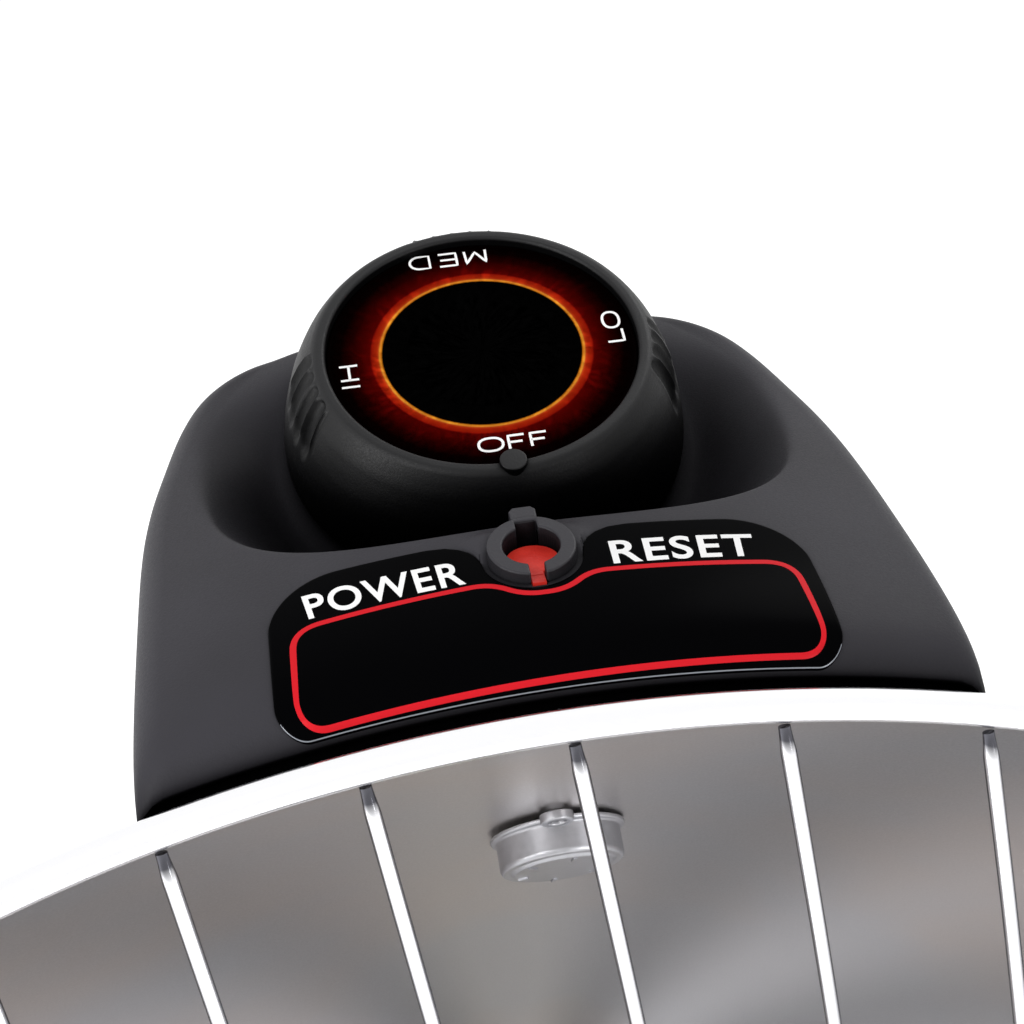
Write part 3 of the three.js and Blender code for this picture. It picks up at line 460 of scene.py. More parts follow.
LABEL_BACK, LABEL_NOTCH_R, LABEL_CURL_X, LABEL_CURL_Y, LABEL_CURL_FROM = 33.2, 7.0, 10.0, 11.0, 27.1
CROWN_R, LIP_DROP, LIP_REACH, NOSE_DROP, NOSE_REACH = 210.2, 3.2, 2.5, 4.7, 14.0
SCOOP_SQUARENESS, KEY_HALF, KEY_END = 3.3, 1.5, 5.3


def crown(x, y):
    """Height of the crown: a circle about the dish axis whose radius falls off towards the lip."""
    t = np.maximum(y - POD_LIP_Y, 0)
    radius = CROWN_R - LIP_DROP * np.exp(-t / LIP_REACH) - NOSE_DROP * np.exp(-t / NOSE_REACH)
    return np.sqrt(radius ** 2 - x ** 2)


def label_back(x):
    """Rear edge of the label: straight, curved in round the lens ring and rounded at its ends."""
    a = np.abs(x - RING_X)
    flare = np.interp(a, [7.0, 7.5, 8.3, 9.6, 11.4, 14.0], [27.5, 29.3, 30.7, 31.9, 32.8, LABEL_BACK])
    notch = RING_Y - np.sqrt(np.maximum(LABEL_NOTCH_R ** 2 - np.minimum(a, LABEL_NOTCH_R) ** 2, 0))
    curl = np.maximum(np.abs(x) - LABEL_CURL_FROM, 0) / LABEL_CURL_X
    ends = LABEL_BACK - LABEL_CURL_Y * (1 - np.sqrt(np.maximum(1 - curl ** 2, 0)))
    return np.where(a < LABEL_NOTCH_R, notch, np.minimum(flare, ends))


def charcoal(name, colour, dark, cell=0.35, shine=0.12, painted_shade_power=1.4):
    """Moulded ABS with a fine spark texture: satin, a grain of small bumps, slow mould mottling. Painted
    shade: where the form closes in on itself the colour and the sheen fall with the open share of the sky, to a
    power."""
    material, tree, place = finish(name)
    grain = add(tree, "TexNoise", {"Scale": 1000.0 / cell, "Detail": 3.0, "Roughness": 0.6}, {"Vector": place})
    slow = add(tree, "TexNoise", {"Scale": 22.0, "Detail": 4.0}, {"Vector": place})
    mix = add(tree, "MapRange", {"From Min": 0.35, "From Max": 0.65}, {"Value": slow.outputs["Fac"]})
    tone = add(tree, "Mix", {"data_type": "RGBA", 6: linear(dark), 7: linear(colour)}, {0: mix.outputs[0]})
    # Painted shade: the occlusion below, raised to a power, darkens the colour and scales down the sheen.
    sky_share = add(tree, "AmbientOcclusion", {"Distance": 0.06, "samples": 8})
    painted_shade_share = add(tree, "Math", {"operation": "POWER", 1: painted_shade_power}, {0: sky_share.outputs["AO"]})
    painted_shade_colour = add(tree, "VectorMath", {"operation": "SCALE"}, {0: tone.outputs[2], "Scale": painted_shade_share.outputs[0]})
    sheen_under_painted_shade = add(tree, "Math", {"operation": "MULTIPLY", 1: shine}, {0: painted_shade_share.outputs[0]})
    rough = add(tree, "MapRange", {"From Min": 0.3, "From Max": 0.7, "To Min": 0.4, "To Max": 0.55},
                {"Value": grain.outputs["Fac"]})
    bump = add(tree, "Bump", {"Strength": 0.35, "Distance": 0.00012}, {"Height": grain.outputs["Fac"]})
    shader = add(tree, "BsdfPrincipled", {"IOR": 1.5},
                 {"Base Color": painted_shade_colour.outputs[0], "Roughness": rough.outputs[0], "Normal": bump.outputs[0],
                  "Specular IOR Level": sheen_under_painted_shade.outputs[0]})
    return surfaced(material, tree, shader)


# Rays leave the knob's foot in every direction, closer together where the lens ring stands.
ray = np.concatenate([np.linspace(-98, -82, 130, endpoint=False), np.linspace(-82, -60, 60, endpoint=False),
                      np.linspace(-60, 240, 420, endpoint=False), np.linspace(240, 262, 60, endpoint=False)])
ray = np.radians(ray)
cos_ray, sin_ray = np.cos(ray), np.sin(ray)
# Where each ray crosses the scoop's edge, by halving: an ellipse behind and a squarer oval in front.
near, far = np.zeros(len(ray)), np.full(len(ray), 90.0)
for _ in range(40):
    scoop_r = (near + far) / 2
    ahead = KNOB_Y - SCOOP_Y + scoop_r * sin_ray
    oval = np.where(ahead < 0, SCOOP_SQUARENESS, 2.0)
    inside = np.abs(scoop_r * cos_ray / SCOOP_A) ** oval + np.abs(ahead / SCOOP_B) ** oval < 1
    near, far = np.where(inside, scoop_r, near), np.where(inside, far, scoop_r)
# Where it crosses the plan outline, and how squarely, so that distance from the side is known.
plan = smooth_path(POD_PLAN, 24)
plan = np.vstack([plan, (plan * [-1, 1])[-2::-1]])
plan_angle = np.unwrap(np.arctan2(plan[:, 1] - KNOB_Y, plan[:, 0]))
plan_r = np.hypot(plan[:, 0], plan[:, 1] - KNOB_Y)
side_angle = np.where(ray < plan_angle[0], ray + 2 * np.pi, ray)
side_r = np.interp(side_angle, plan_angle, plan_r, left=400, right=400)
plan_way = np.gradient(plan, axis=0)
plan_out = np.column_stack([plan_way[:, 1], -plan_way[:, 0]]) / np.linalg.norm(plan_way, axis=1, keepdims=True)
out_x = np.interp(side_angle, plan_angle, plan_out[:, 0], left=0, right=0)
out_y = np.interp(side_angle, plan_angle, plan_out[:, 1], left=0, right=0)
square = cos_ray * out_x + sin_ray * out_y
front_r = np.where(sin_ray < -0.05, (KNOB_Y - POD_LIP_Y) / np.maximum(-sin_ray, 0.05), 400)
edge_r = np.minimum(side_r, front_r)
is_front = front_r < side_r


def pod_top(x, y, from_side, bite):
    """Crown with the ring's shoulders, less the scoop (a soft maximum of its depth) and the edge round."""
    a = np.abs(x - RING_X)
    shoulder = 1.3 * np.exp(-(np.maximum(a - 5, 0) / 3.0) ** 2) * step((y - RING_Y + 1) / 2.5)
    shoulder *= step((y - label_back(x) - 0.15) / 0.7) * (1 - step((y - 32.5) / 4.0))
    high = crown(x, y) + shoulder
    foot = KNOB_Z - 0.9 + (y - KNOB_Y) * np.tan(KNOB_TILT)
    lift = (np.sqrt(bite ** 2 + 0.25 ** 2) - 0.25) / (np.sqrt(1 + 0.25 ** 2) - 0.25)
    wall = foot + depth_at_edge * lift
    gap = high - np.where(bite > 0, wall, foot)
    soft = (0.35 + 1.15 * step((sin_ray + 0.75) / 0.6))[:, None] * np.ones_like(x)
    sunk = 0.5 * (gap + np.sqrt(gap ** 2 + soft ** 2))
    sunk *= 1 - step((bite - 1.0) / 0.6)
    rounded = POD_EDGE - np.sqrt(POD_EDGE ** 2 - (POD_EDGE - np.clip(from_side, 0, POD_EDGE)) ** 2)
    return high - sunk - rounded


# Radial stations: the flat floor, the scoop's wall, the crown, and close together at the outer edge.
inner = np.linspace(0, 1, 10)[None, :-1] * SCOOP_FLOOR_R * np.ones((len(ray), 1))
wall_t = np.concatenate([np.linspace(0, 0.9, 26), np.linspace(0.92, 1.12, 16)])
wall_r = SCOOP_FLOOR_R + (scoop_r - SCOOP_FLOOR_R)[:, None] * wall_t[None]
wall_r = np.minimum(wall_r, (edge_r - 0.5)[:, None])
t = np.linspace(0, 1, 58)[1:]
spread = 1 - (1 - t) ** 1.7
outer = wall_r[:, -1:] + (edge_r[:, None] - wall_r[:, -1:]) * spread[None]
radius = np.concatenate([inner, wall_r, outer], 1)
x, y = radius * cos_ray[:, None], KNOB_Y + radius * sin_ray[:, None]
bite = (radius - SCOOP_FLOOR_R) / (scoop_r - SCOOP_FLOOR_R)[:, None]
edge_x, edge_y = scoop_r * cos_ray, KNOB_Y + scoop_r * sin_ray
edge_foot = KNOB_Z - 0.9 + (edge_y - KNOB_Y) * np.tan(KNOB_TILT)
depth_at_edge = np.maximum(crown(edge_x, edge_y) - edge_foot, -30)[:, None]
from_side = (side_r[:, None] - radius) * np.maximum(square, 0)[:, None]
from_side += np.where(is_front & (side_r > 399), 99, 0)[:, None]
z = pod_top(x, y, from_side, bite)
lip = 0.5 - np.sqrt(0.5 ** 2 - (0.5 - np.clip(y - POD_LIP_Y, 0, 0.5)) ** 2)
z -= np.where(is_front[:, None], lip, 0)
top = np.stack([x, y, z], -1)

# The walls go down to the rear shell; below the front lip they first step back 2.4 mm.
def shell_height(x, y):
    """Height of the rear shell's outside over a point in plan, with 0.3 mm of room."""
    r = np.interp(y, SHELL_LINE[:, 1], SHELL_LINE[:, 0]) + 0.3
    return np.sqrt(np.maximum(r ** 2 - x ** 2, 1.0))


wx, wy, wz = top[:, -1, 0], top[:, -1, 1], top[:, -1, 2]
back = np.where(is_front, 2.4, 0.0)
under = np.where(is_front, 0.9, 0.0)
low = shell_height(wx, wy + back)
drops = np.linspace(0, 1, 14)
start = wz - under - 0.2
wall = [np.stack([wx, wy + back * 0.1, wz - under * 0.5], -1), np.stack([wx, wy + back * 0.25, wz - under], -1),
        np.stack([wx, wy + back, start], -1)]
wall += [np.stack([wx, wy + back, start + (low - start) * d], -1) for d in drops[1:]]
wall = np.stack(wall, 1)
base_r = np.hypot(wx, wy + back - KNOB_Y)[:, None] * np.linspace(1, 0, 30)[None, 1:]
base_a = np.arctan2(wy + back - KNOB_Y, wx)[:, None]
bx, by = base_r * np.cos(base_a), KNOB_Y + base_r * np.sin(base_a)
bottom = np.stack([bx, by, shell_height(bx, by)], -1)
pod_plastic = charcoal("charcoal_moulded_plastic", "#3c3b40", "#353438", 0.35, 0.1, 1.9)
pod = piece("pod_housing", [quads(np.concatenate([top, wall, bottom], 1), True)], "head",
            ["control_housing"], pod_plastic, crease=38)

# The keyhole opening: a round bore with a narrow slot to the front and a wider key to the back.
key = np.arcsin(KEY_HALF / RING_HOLE)
bore = np.linspace(np.pi / 2 + key, 2.5 * np.pi - key, 64)
bore = np.vstack([circle(RING_HOLE, bore), [[KEY_HALF, KEY_END], [-KEY_HALF, KEY_END]]]) + [RING_X, RING_Y]
cut(pod, [prism(bore, 198.5, 214)])
front_slot = np.array([[-1.05, -6.5], [1.05, -6.5], [1.05, -3.0], [-1.05, -3.0]]) + [RING_X, RING_Y]
cut(pod, [prism(front_slot, 204.2, 214)])

# The raised ring: the bore's wall, open at the front slot and keyed at the back. Its top slopes to the
# front with the crown, and so does the top of the small block behind the key.
wing = np.arcsin(RING_SLOT / 2 / RING_OUT)
around = np.linspace(-np.pi / 2 + wing, 1.5 * np.pi - wing, 96)
wing_in = np.arcsin(RING_SLOT / 2 / RING_HOLE)
left = np.linspace(1.5 * np.pi - wing_in, np.pi / 2 + key, 40)
right = np.linspace(np.pi / 2 - key, -np.pi / 2 + wing_in, 40)
ring_plan = np.vstack([circle(RING_OUT, around), circle(RING_HOLE, left),
                       [[-KEY_HALF, KEY_END], [KEY_HALF, KEY_END]], circle(RING_HOLE, right)]) + [RING_X, RING_Y]
marker = np.array([[-1.8, 5.25], [1.8, 5.25], [1.9, 7.9], [1.3, 8.6], [-1.3, 8.6], [-1.9, 7.9]]) + [RING_X, RING_Y]


def sloped(shell, level):
    """The upper points of a prism laid on a plane that passes the bore at the level and dips 9 degrees."""
    points, faces = shell
    slope = level + 0.16 * (points[:, 1] - RING_Y)
    return np.column_stack([points[:, :2], np.where(points[:, 2] > 208, slope, points[:, 2])]), faces


def soft_edges(made, width, sharper_than):
    """Rounds the edges sharper than the angle with a bevel of three steps, its width in millimetres."""
    edge = made.modifiers.new("soft_edges", "BEVEL")
    edge.width, edge.segments, edge.limit_method = width * 0.001, 3, "ANGLE"
    edge.angle_limit = np.radians(sharper_than)
    return edge


# The ring's plastic is the pod's made darker: painted shade.
ring_plastic_painted_darker = charcoal("charcoal_ring_plastic", "#333237", "#2b2a2e", 0.35, 0.3, 1.6)
ring = piece("lens_ring", [sloped(prism(ring_plan, 205, RING_TOP), RING_TOP - 0.3),
                           sloped(prism(marker, 205, RING_TOP), RING_TOP - 0.5)], "head",
             ["control_housing"], ring_plastic_painted_darker, crease=40)
soft_edges(ring, 0.32, 50)


# ---------------------------------------------------------------------------- label plate
# A gloss black printed plate let into the crown in front of the scoop, cut out round the lens ring.
# It carries a red outline and one plain control word on each side of the ring.
LABEL_HALF, LABEL_FRONT, LABEL_PROUD, LABEL_CORNER, WORD_FOOT_Y = 37.1, 5.2, 0.3, 4.3, 23.4


def slab(top, bottom):
    """Two grids of one size joined round all four borders: each end pair is drawn in to its middle."""
    both = np.concatenate([top, bottom[:, ::-1]], 1)
    middle = 0.5 * (top + bottom)
    ends = np.concatenate([middle, middle[:, ::-1]], 1)
    return quads(np.concatenate([ends[:1], both, ends[-1:]]), False, True)


def ribbon(path, width, height, lift, thick, closed=False):
    """A flat strip along a path in plan: width across its normals, top at the lift over the surface.
    The width is one number or one for each point."""
    p = np.asarray(path, float)
    way = (np.roll(p, -1, 0) - np.roll(p, 1, 0)) if closed else np.gradient(p, axis=0)
    way /= np.linalg.norm(way, axis=1, keepdims=True) + 1e-9
    across = np.column_stack([-way[:, 1], way[:, 0]]) * np.reshape(width, (-1, 1)) / 2
    rows = [np.column_stack([q, height(q[:, 0], q[:, 1]) + rise])
            for q, rise in ((p - across, lift), (p + across, lift), (p + across, lift - thick),
                            (p - across, lift - thick))]
    grid = np.stack(rows, 1)
    if not closed:
        middle = np.repeat(grid.mean(1, keepdims=True), 4, 1)
        grid = np.concatenate([middle[:1], grid, middle[-1:]])
    return quads(grid, closed, True)


def print_gloss(name, colour, rough=0.25, shine=0.05):
    """Screen print under a clear film that hardly mirrors: smooth colour, a faint ripple in the film."""
    material, tree, place = finish(name)
    ripple = add(tree, "TexNoise", {"Scale": 160.0, "Detail": 2.0}, {"Vector": place})
    wear = add(tree, "MapRange", {"To Min": rough, "To Max": rough + 0.08}, {"Value": ripple.outputs["Fac"]})
    bump = add(tree, "Bump", {"Strength": 0.05, "Distance": 0.0002}, {"Height": ripple.outputs["Fac"]})
    shader = add(tree, "BsdfPrincipled", {"Base Color": linear(colour), "IOR": 1.49, "Specular IOR Level": shine},
                 {"Roughness": wear.outputs[0], "Normal": bump.outputs[0]})
    return surfaced(material, tree, shader)


across = np.unique(np.round(np.concatenate([LABEL_HALF * np.sin(np.linspace(-np.pi / 2, np.pi / 2, 140)),
                                            np.linspace(-14, 14, 169)]), 4))
corner = np.clip((np.abs(across) - (LABEL_HALF - LABEL_CORNER)) / LABEL_CORNER, 0, 1)
front = LABEL_FRONT + LABEL_CORNER * (1 - np.sqrt(1 - corner ** 2))
rear_edge = label_back(across)
rows = 0.5 - 0.5 * np.cos(np.pi * np.linspace(0, 1, 60))
lx = np.repeat(across[:, None], len(rows), 1)
ly = front[:, None] + (rear_edge - front)[:, None] * rows
border = np.minimum(np.minimum(ly - front[:, None], rear_edge[:, None] - ly), LABEL_HALF - np.abs(lx))
fall = 0.18 * (1 - np.sqrt(1 - (1 - np.clip(border / 0.4, 0, 1)) ** 2))
label_top = np.stack([lx, ly, crown(lx, ly) + LABEL_PROUD - fall], -1)
label_low = np.stack([lx, ly, crown(lx, ly) - 0.4], -1)
piece("label_plate_gloss", [slab(label_top, label_low)], "head", ["label_plate"],
      print_gloss("gloss_black_print", "#030304", 0.2, 0.008), crease=60)
# Along the label's front edge, the film's cut edge as a thin light grey strip: a painted highlight.
film = np.column_stack([across, front + 0.1])[np.abs(across) < LABEL_HALF - 0.6]
piece("label_film_edge_painted_highlight", [ribbon(film, 0.13, crown, LABEL_PROUD - 0.06, 0.1)], "head", ["label_plate"],
      print_gloss("clear_film_edge_painted_highlight", "#8c9098", 0.2, 0.4), crease=60)

outline = eased([[-33.9, 21.9], [-34.3, 5.75], [0, 5.95], [34.8, 6.2], [34.2, 22.0], [6.6, 22.4],
                 [2.6, 19.1], [-2.9, 19.1], [-7.2, 22.5]], 4.0, 14)
step_len = np.r_[0, np.cumsum(np.linalg.norm(np.diff(np.vstack([outline, outline[:1]]), axis=0), axis=1))]
even = np.linspace(0, step_len[-1], 420, endpoint=False)
outline = np.column_stack([np.interp(even, step_len, np.r_[outline[:, k], outline[0, k]]) for k in (0, 1)])
line_width = np.interp(outline[:, 1], [5.8, 7.5, 12.0, 18.0], [0.55, 0.62, 0.8, 0.9])
piece("label_outline", [ribbon(outline, line_width, crown, LABEL_PROUD + 0.03, 0.06, True)], "head",
      ["label_plate"], print_gloss("red_print", "#d6202a", 0.3), crease=60)


def word(text, heavier, spread):
    """A word from the built-in letterform as a thin closed mesh: unit height, its own width."""
    curve = bpy.data.curves.new(text, "FONT")
    curve.body, curve.extrude, curve.offset, curve.resolution_u = text, 0.02, heavier, 8
    curve.space_character = spread
    flat = bpy.data.objects.new(text, curve)
    bpy.context.scene.collection.objects.link(flat)
    mesh = bpy.data.meshes.new_from_object(flat.evaluated_get(bpy.context.evaluated_depsgraph_get()))
    points = np.empty(len(mesh.vertices) * 3)
    mesh.vertices.foreach_get("co", points)
    points = points.reshape(-1, 3)
    faces = [np.array(f.vertices) for f in mesh.polygons]
    bpy.data.objects.remove(flat)
    points[:, :2] -= points[:, :2].min(0)
    points[:, :2] /= points[:, 1].max()
    return points, faces


def laid(points, x0, x1, y0, y1):
    """A word stretched to a box on the label, a little wider to its head, laid on it 0.03 mm proud."""
    x = (x0 + (x1 - x0) * points[:, 0] / points[:, 0].max()) * (1 + 0.025 * points[:, 1])
    y = y0 + (y1 - y0) * points[:, 1]
    return np.column_stack([x, y, crown(x, y) + LABEL_PROUD + np.where(points[:, 2] > 0, 0.035, -0.03)])


words = []
for text, left_end, right_end, head_y in (("POWER", -31.5, -10.2, 29.0), ("RESET", 9.9, 29.6, 28.9)):
    points, faces = word(text, 0.016, 1.1)
    words.append((laid(points, left_end, right_end, WORD_FOOT_Y, head_y), faces))
piece("label_words", words, "head", ["label_plate"], print_gloss("white_print", "#ffffff", 0.3),
      crease=60)


# ---------------------------------------------------------------------------- knob
# A turning knob in black textured plastic: a flat-rimmed head over a flared skirt, with pads of small
# grip flutes behind and at each side, and a round stud that marks OFF. A printed dial is set in its face.
RIM_TOP, RIM_IN, FACE_H, DIAL_R, KNOB_STEPS = 21.35, 24.65, 19.85, 24.5, 640
STUD_R, STUD_OUT, STUD_TURN, STUD_TOP = 2.08, 25.05, np.radians(271.9), 22.0


def on_knob(points):
    """From the knob's own frame to the head's: tip forward by the knob's lean, then move to its foot."""
    c, s = np.cos(KNOB_TILT), np.sin(KNOB_TILT)
    p = np.asarray(points, float)
    return np.stack([p[..., 0], KNOB_Y + c * p[..., 1] - s * p[..., 2],
                     KNOB_Z + s * p[..., 1] + c * p[..., 2]], -1)


knob_line = np.array([
    [2.0, 3.0], [2.0, 14.0], [24.0, 14.0], [29.0, 0.35], [32.9, 0.35], [33.0, 2.5], [32.4, 7.0], [31.6, 10.5],
    [30.9, 13.0], [30.0, 15.4], [28.9, 17.9], [27.8, 19.7], [26.9, 20.9], [26.2, RIM_TOP],
    [RIM_IN + 0.4, RIM_TOP], [RIM_IN, RIM_TOP - 0.4], [RIM_IN, 19.0], [0.0, 19.0]])
knob_line = eased(knob_line, 0.9, 6, closed=False)
seg = np.r_[0, np.cumsum(np.linalg.norm(np.diff(knob_line, axis=0), axis=1))]
outer_seg = seg[(knob_line[:, 0] > 26.2) & (knob_line[:, 1] > 1.7)]
fine = np.unique(np.r_[seg, np.arange(outer_seg.min(), outer_seg.max(), 0.5)])
knob_line = np.column_stack([np.interp(fine, seg, knob_line[:, k]) for k in (0, 1)])
knob_grid = turned(knob_line, "z", KNOB_STEPS)
angle = np.linspace(0, 360, KNOB_STEPS, endpoint=False)[:, None]
height, reach = knob_line[None, :, 1], knob_line[None, :, 0]
flank = (reach > 26.2) & (height < 21.1) & (height > 1.7)
groove = np.zeros((KNOB_STEPS, len(fine)))
for pad, half in ((92, 17), (187, 15), (352, 14)):
    off = (angle - pad + 180) % 360 - 180
    window = step((half - np.abs(off)) / 2.5)
    waves = np.abs(np.sin(np.pi * off / 6.6)) ** 0.7
    foot = 9.5 + 3.0 * (1 - waves)
    tall = step((height - foot) / 3.0) * step((21.2 - height) / 1.2)
    groove += window * tall * (0.55 - 1.3 * waves)
knob_grid[..., :2] *= (1 + np.where(flank, groove, 0) / np.maximum(reach, 5))[..., None]
stud_line = eased([[0, 15.5], [STUD_R + 0.15, 15.5], [STUD_R, STUD_TOP], [0, STUD_TOP]], 0.3, 5, closed=False)
stud = turned(stud_line, "z", 48) + [STUD_OUT * np.cos(STUD_TURN), STUD_OUT * np.sin(STUD_TURN), 0]
knob_plastic = charcoal("black_textured_knob_plastic", "#0f0f11", "#0b0b0d", 0.3, 0.34, 2.2)
piece("knob_body", [quads(on_knob(knob_grid), True, True), quads(on_knob(stud), True)], "knob",
      ["knob_shell"], knob_plastic, crease=40)


def dial_print():
    """Print on a gloss disc, worked out from the distance to its middle in its own UV map (50 mm
    square): bare black centre, thin orange ring, red ring, then dark red that fades to black."""
    material, tree, place = finish("dial_print_gloss")
    uv = add(tree, "UVMap", {"uv_map": "disc"})
    centred = add(tree, "Mapping", {"Location": (-0.5, -0.5, 0.0)}, {"Vector": uv.outputs[0]})
    far = add(tree, "VectorMath", {"operation": "LENGTH"}, {0: centred.outputs[0]})
    ramp = add(tree, "ValToRGB", None, {"Fac": add(tree, "MapRange", {"From Min": 0.0, "From Max": 0.5},
                                                  {"Value": far.outputs["Value"]}).outputs[0]})
    stops = ((0.0, "#020202"), (15.75, "#020202"), (15.9, "#f09020"), (16.15, "#ffb03c"), (16.4, "#d8481c"),
             (16.7, "#c43010"), (17.4, "#b01e0c"), (17.7, "#640503"), (19.0, "#4e0302"), (20.6, "#2a0101"),
             (22.4, "#090000"), (25.0, "#010101"))
    band = ramp.color_ramp
    while len(band.elements) < len(stops):
        band.elements.new(1.0)
    for element, (radius_mm, colour) in zip(band.elements, stops):
        element.position = radius_mm / 25.0
        element.color = linear(colour)
    ripple = add(tree, "TexNoise", {"Scale": 120.0}, {"Vector": place})
    rough = add(tree, "MapRange", {"To Min": 0.16, "To Max": 0.26}, {"Value": ripple.outputs["Fac"]})
    shader = add(tree, "BsdfPrincipled", {"IOR": 1.46, "Specular IOR Level": 0.002},
                 {"Base Color": ramp.outputs[0], "Roughness": rough.outputs[0]})
    return surfaced(material, tree, shader)


dial_line = eased([[0, 19.1], [DIAL_R, 19.1], [DIAL_R, FACE_H], [0, FACE_H]], 0.15, 4, closed=False)
dial_line = np.vstack([dial_line[:-1], np.column_stack([np.linspace(DIAL_R - 0.6, 0, 24), np.full(24, FACE_H)])])
dial = piece("dial_disc", [quads(on_knob(turned(dial_line, "z", 144)), True)], "knob", ["knob_dial"],
             dial_print(), crease=50)
corner = np.empty(len(dial.data.loops), int)
dial.data.loops.foreach_get("vertex_index", corner)
spot = np.empty(len(dial.data.vertices) * 3)
dial.data.vertices.foreach_get("co", spot)
spot = spot.reshape(-1, 3)[corner] * 1000 - HEAD
lean_y = (spot[:, 1] - KNOB_Y) * np.cos(KNOB_TILT) + (spot[:, 2] - KNOB_Z) * np.sin(KNOB_TILT)
disc = dial.data.uv_layers.new(name="disc")
disc.data.foreach_set("uv", np.column_stack([spot[:, 0] / 50 + 0.5, lean_y / 50 + 0.5]).ravel())

# The four plain words of the dial, drawn with a thin pen: strokes in a box one wide and one high.
bow = np.radians(np.linspace(90, -90, 18))
loop = np.radians(np.linspace(0, 360, 41))
LETTERS = {
    "O": [np.column_stack([0.5 + 0.5 * np.sign(np.cos(loop)) * np.abs(np.cos(loop)) ** 0.85,
                           0.5 + 0.5 * np.sign(np.sin(loop)) * np.abs(np.sin(loop)) ** 0.85])],
    "F": [[[1, 1], [0, 1], [0, 0]], [[0, 0.5], [0.85, 0.5]]],
    "L": [[[0, 1], [0, 0], [1, 0]]],
    "H": [[[0, 1], [0, 0]], [[1, 1], [1, 0]], [[0, 0.5], [1, 0.5]]],
    "I": [[[0, 1], [0, 0]]],
    "M": [[[0, 0], [0.04, 1], [0.5, 0.12], [0.96, 1], [1, 0]]],
    "E": [[[1, 1], [0, 1], [0, 0], [1, 0]], [[0, 0.5], [0.92, 0.5]]],
    "D": [np.vstack([[[0.5, 1], [0, 1], [0, 0], [0.5, 0]],
                     np.column_stack([0.5 + 0.5 * np.cos(bow[::-1]), 0.5 + 0.5 * np.sin(bow[::-1])])])],
}
# Each word: the way out from the middle, the radius of its foot and head, and each letter's span.
WORDS = (((0, -1), 21.15, 18.55, (("O", -3.6, 0.1), ("F", 1.0, 3.45), ("F", 4.4, 6.85))),
         ((1, 0), 22.65, 20.0, (("L", -1.6, 1.0), ("O", 1.5, 5.0))),
         ((0, 1), 23.05, 20.15, (("M", -4.0, -0.5), ("E", 0.95, 3.85), ("D", 5.45, 8.7))),
         ((-1, 0), 22.65, 19.8, (("H", -0.05, 2.95), ("I", 4.45, 4.45))))
pen = []
for out_way, foot_r, head_r, letters in WORDS:
    out_way = np.array(out_way, float)
    along = np.array([-out_way[1], out_way[0]])
    for letter, start, stop in letters:
        for stroke in LETTERS[letter]:
            q = np.asarray(stroke, float)
            if len(q) < 12:
                q = np.vstack([np.linspace(q[i], q[i + 1], 7)[:-1] for i in range(len(q) - 1)] + [q[-1:]])
            flat = (start + (stop - start) * q[:, :1]) * along + (foot_r + (head_r - foot_r) * q[:, 1:]) * out_way
            points, faces = ribbon(flat, 0.42, lambda u, v: np.zeros_like(u), FACE_H + 0.04, 0.08)
            pen.append((on_knob(points), faces))
piece("dial_words", pen, "knob", ["knob_dial"], print_gloss("white_dial_print", "#ffffff", 0.3),
      crease=60)


# ---------------------------------------------------------------------------- reset button and pilot lens
# A translucent red plastic button that slides in the ring's bore, with a tongue out through the slot.
# The pilot lamp behind lights it; that glow is painted on the lens as emission. It is pressed to reset.
LENS_R, LENS_TOP, TONGUE = 3.65, 209.1, 0.92


def red_plastic():
    """Clear red polycarbonate with a moulded stipple 0.5 mm across, and a faint glow painted on for the lamp
    behind.
    """
    material, tree, place = finish("red_polycarbonate_lens")
    stipple = add(tree, "TexVoronoi", {"Scale": 2000.0}, {"Vector": place})
    cloud = add(tree, "TexNoise", {"Scale": 300.0, "Detail": 3.0}, {"Vector": place})
    tone = add(tree, "Mix", {"data_type": "RGBA", 6: linear("#9c1512"), 7: linear("#d83a2e")},
               {0: cloud.outputs["Fac"]})
    bump = add(tree, "Bump", {"Strength": 0.4, "Distance": 0.0001}, {"Height": stipple.outputs["Distance"]})
    shader = add(tree, "BsdfPrincipled", {"IOR": 1.58, "Roughness": 0.35, "Specular IOR Level": 0.15,
                                          "Emission Strength": 0.25},
                 {"Base Color": tone.outputs[2], "Emission Color": tone.outputs[2], "Normal": bump.outputs[0]})
    return surfaced(material, tree, shader)


lens_line = eased([[0, LENS_TOP - 1.4], [3.0, LENS_TOP - 1.4], [3.0, LENS_TOP - 0.4], [LENS_R, LENS_TOP - 0.4],
                   [LENS_R, LENS_TOP], [0, LENS_TOP]], 0.25, 5, closed=False)
stem_line = [[0, LENS_TOP - 8], [1.6, LENS_TOP - 8], [1.6, LENS_TOP - 1], [0, LENS_TOP - 1]]
tongue = [prism([[-TONGUE, y0], [TONGUE, y0], [TONGUE, y1], [-TONGUE, y1]], LENS_TOP - deep, LENS_TOP - 0.02)
          for y0, y1, deep in ((-6.35, -4.3, 2.6), (-4.5, -2.0, 0.4))]
lens_at = np.array([RING_X, RING_Y, 0])
lens = [(p + lens_at, f) for p, f in (spun(lens_line, "z", 72, ring=False),
                                      spun(stem_line, "z", 32, ring=False), *tongue)]
piece("reset_lens", lens, "reset", ["reset_button"], red_plastic(), crease=40)


# ---------------------------------------------------------------------------- limit thermostat
# A drawn aluminium cap pressed on a bimetal switch: a flange against the reflector, a crimped face
# with six short ribs, and an eyelet beside it. It cuts the heater off if the dish overheats.
CAP_R, CAP_X = 10.7, 4.0


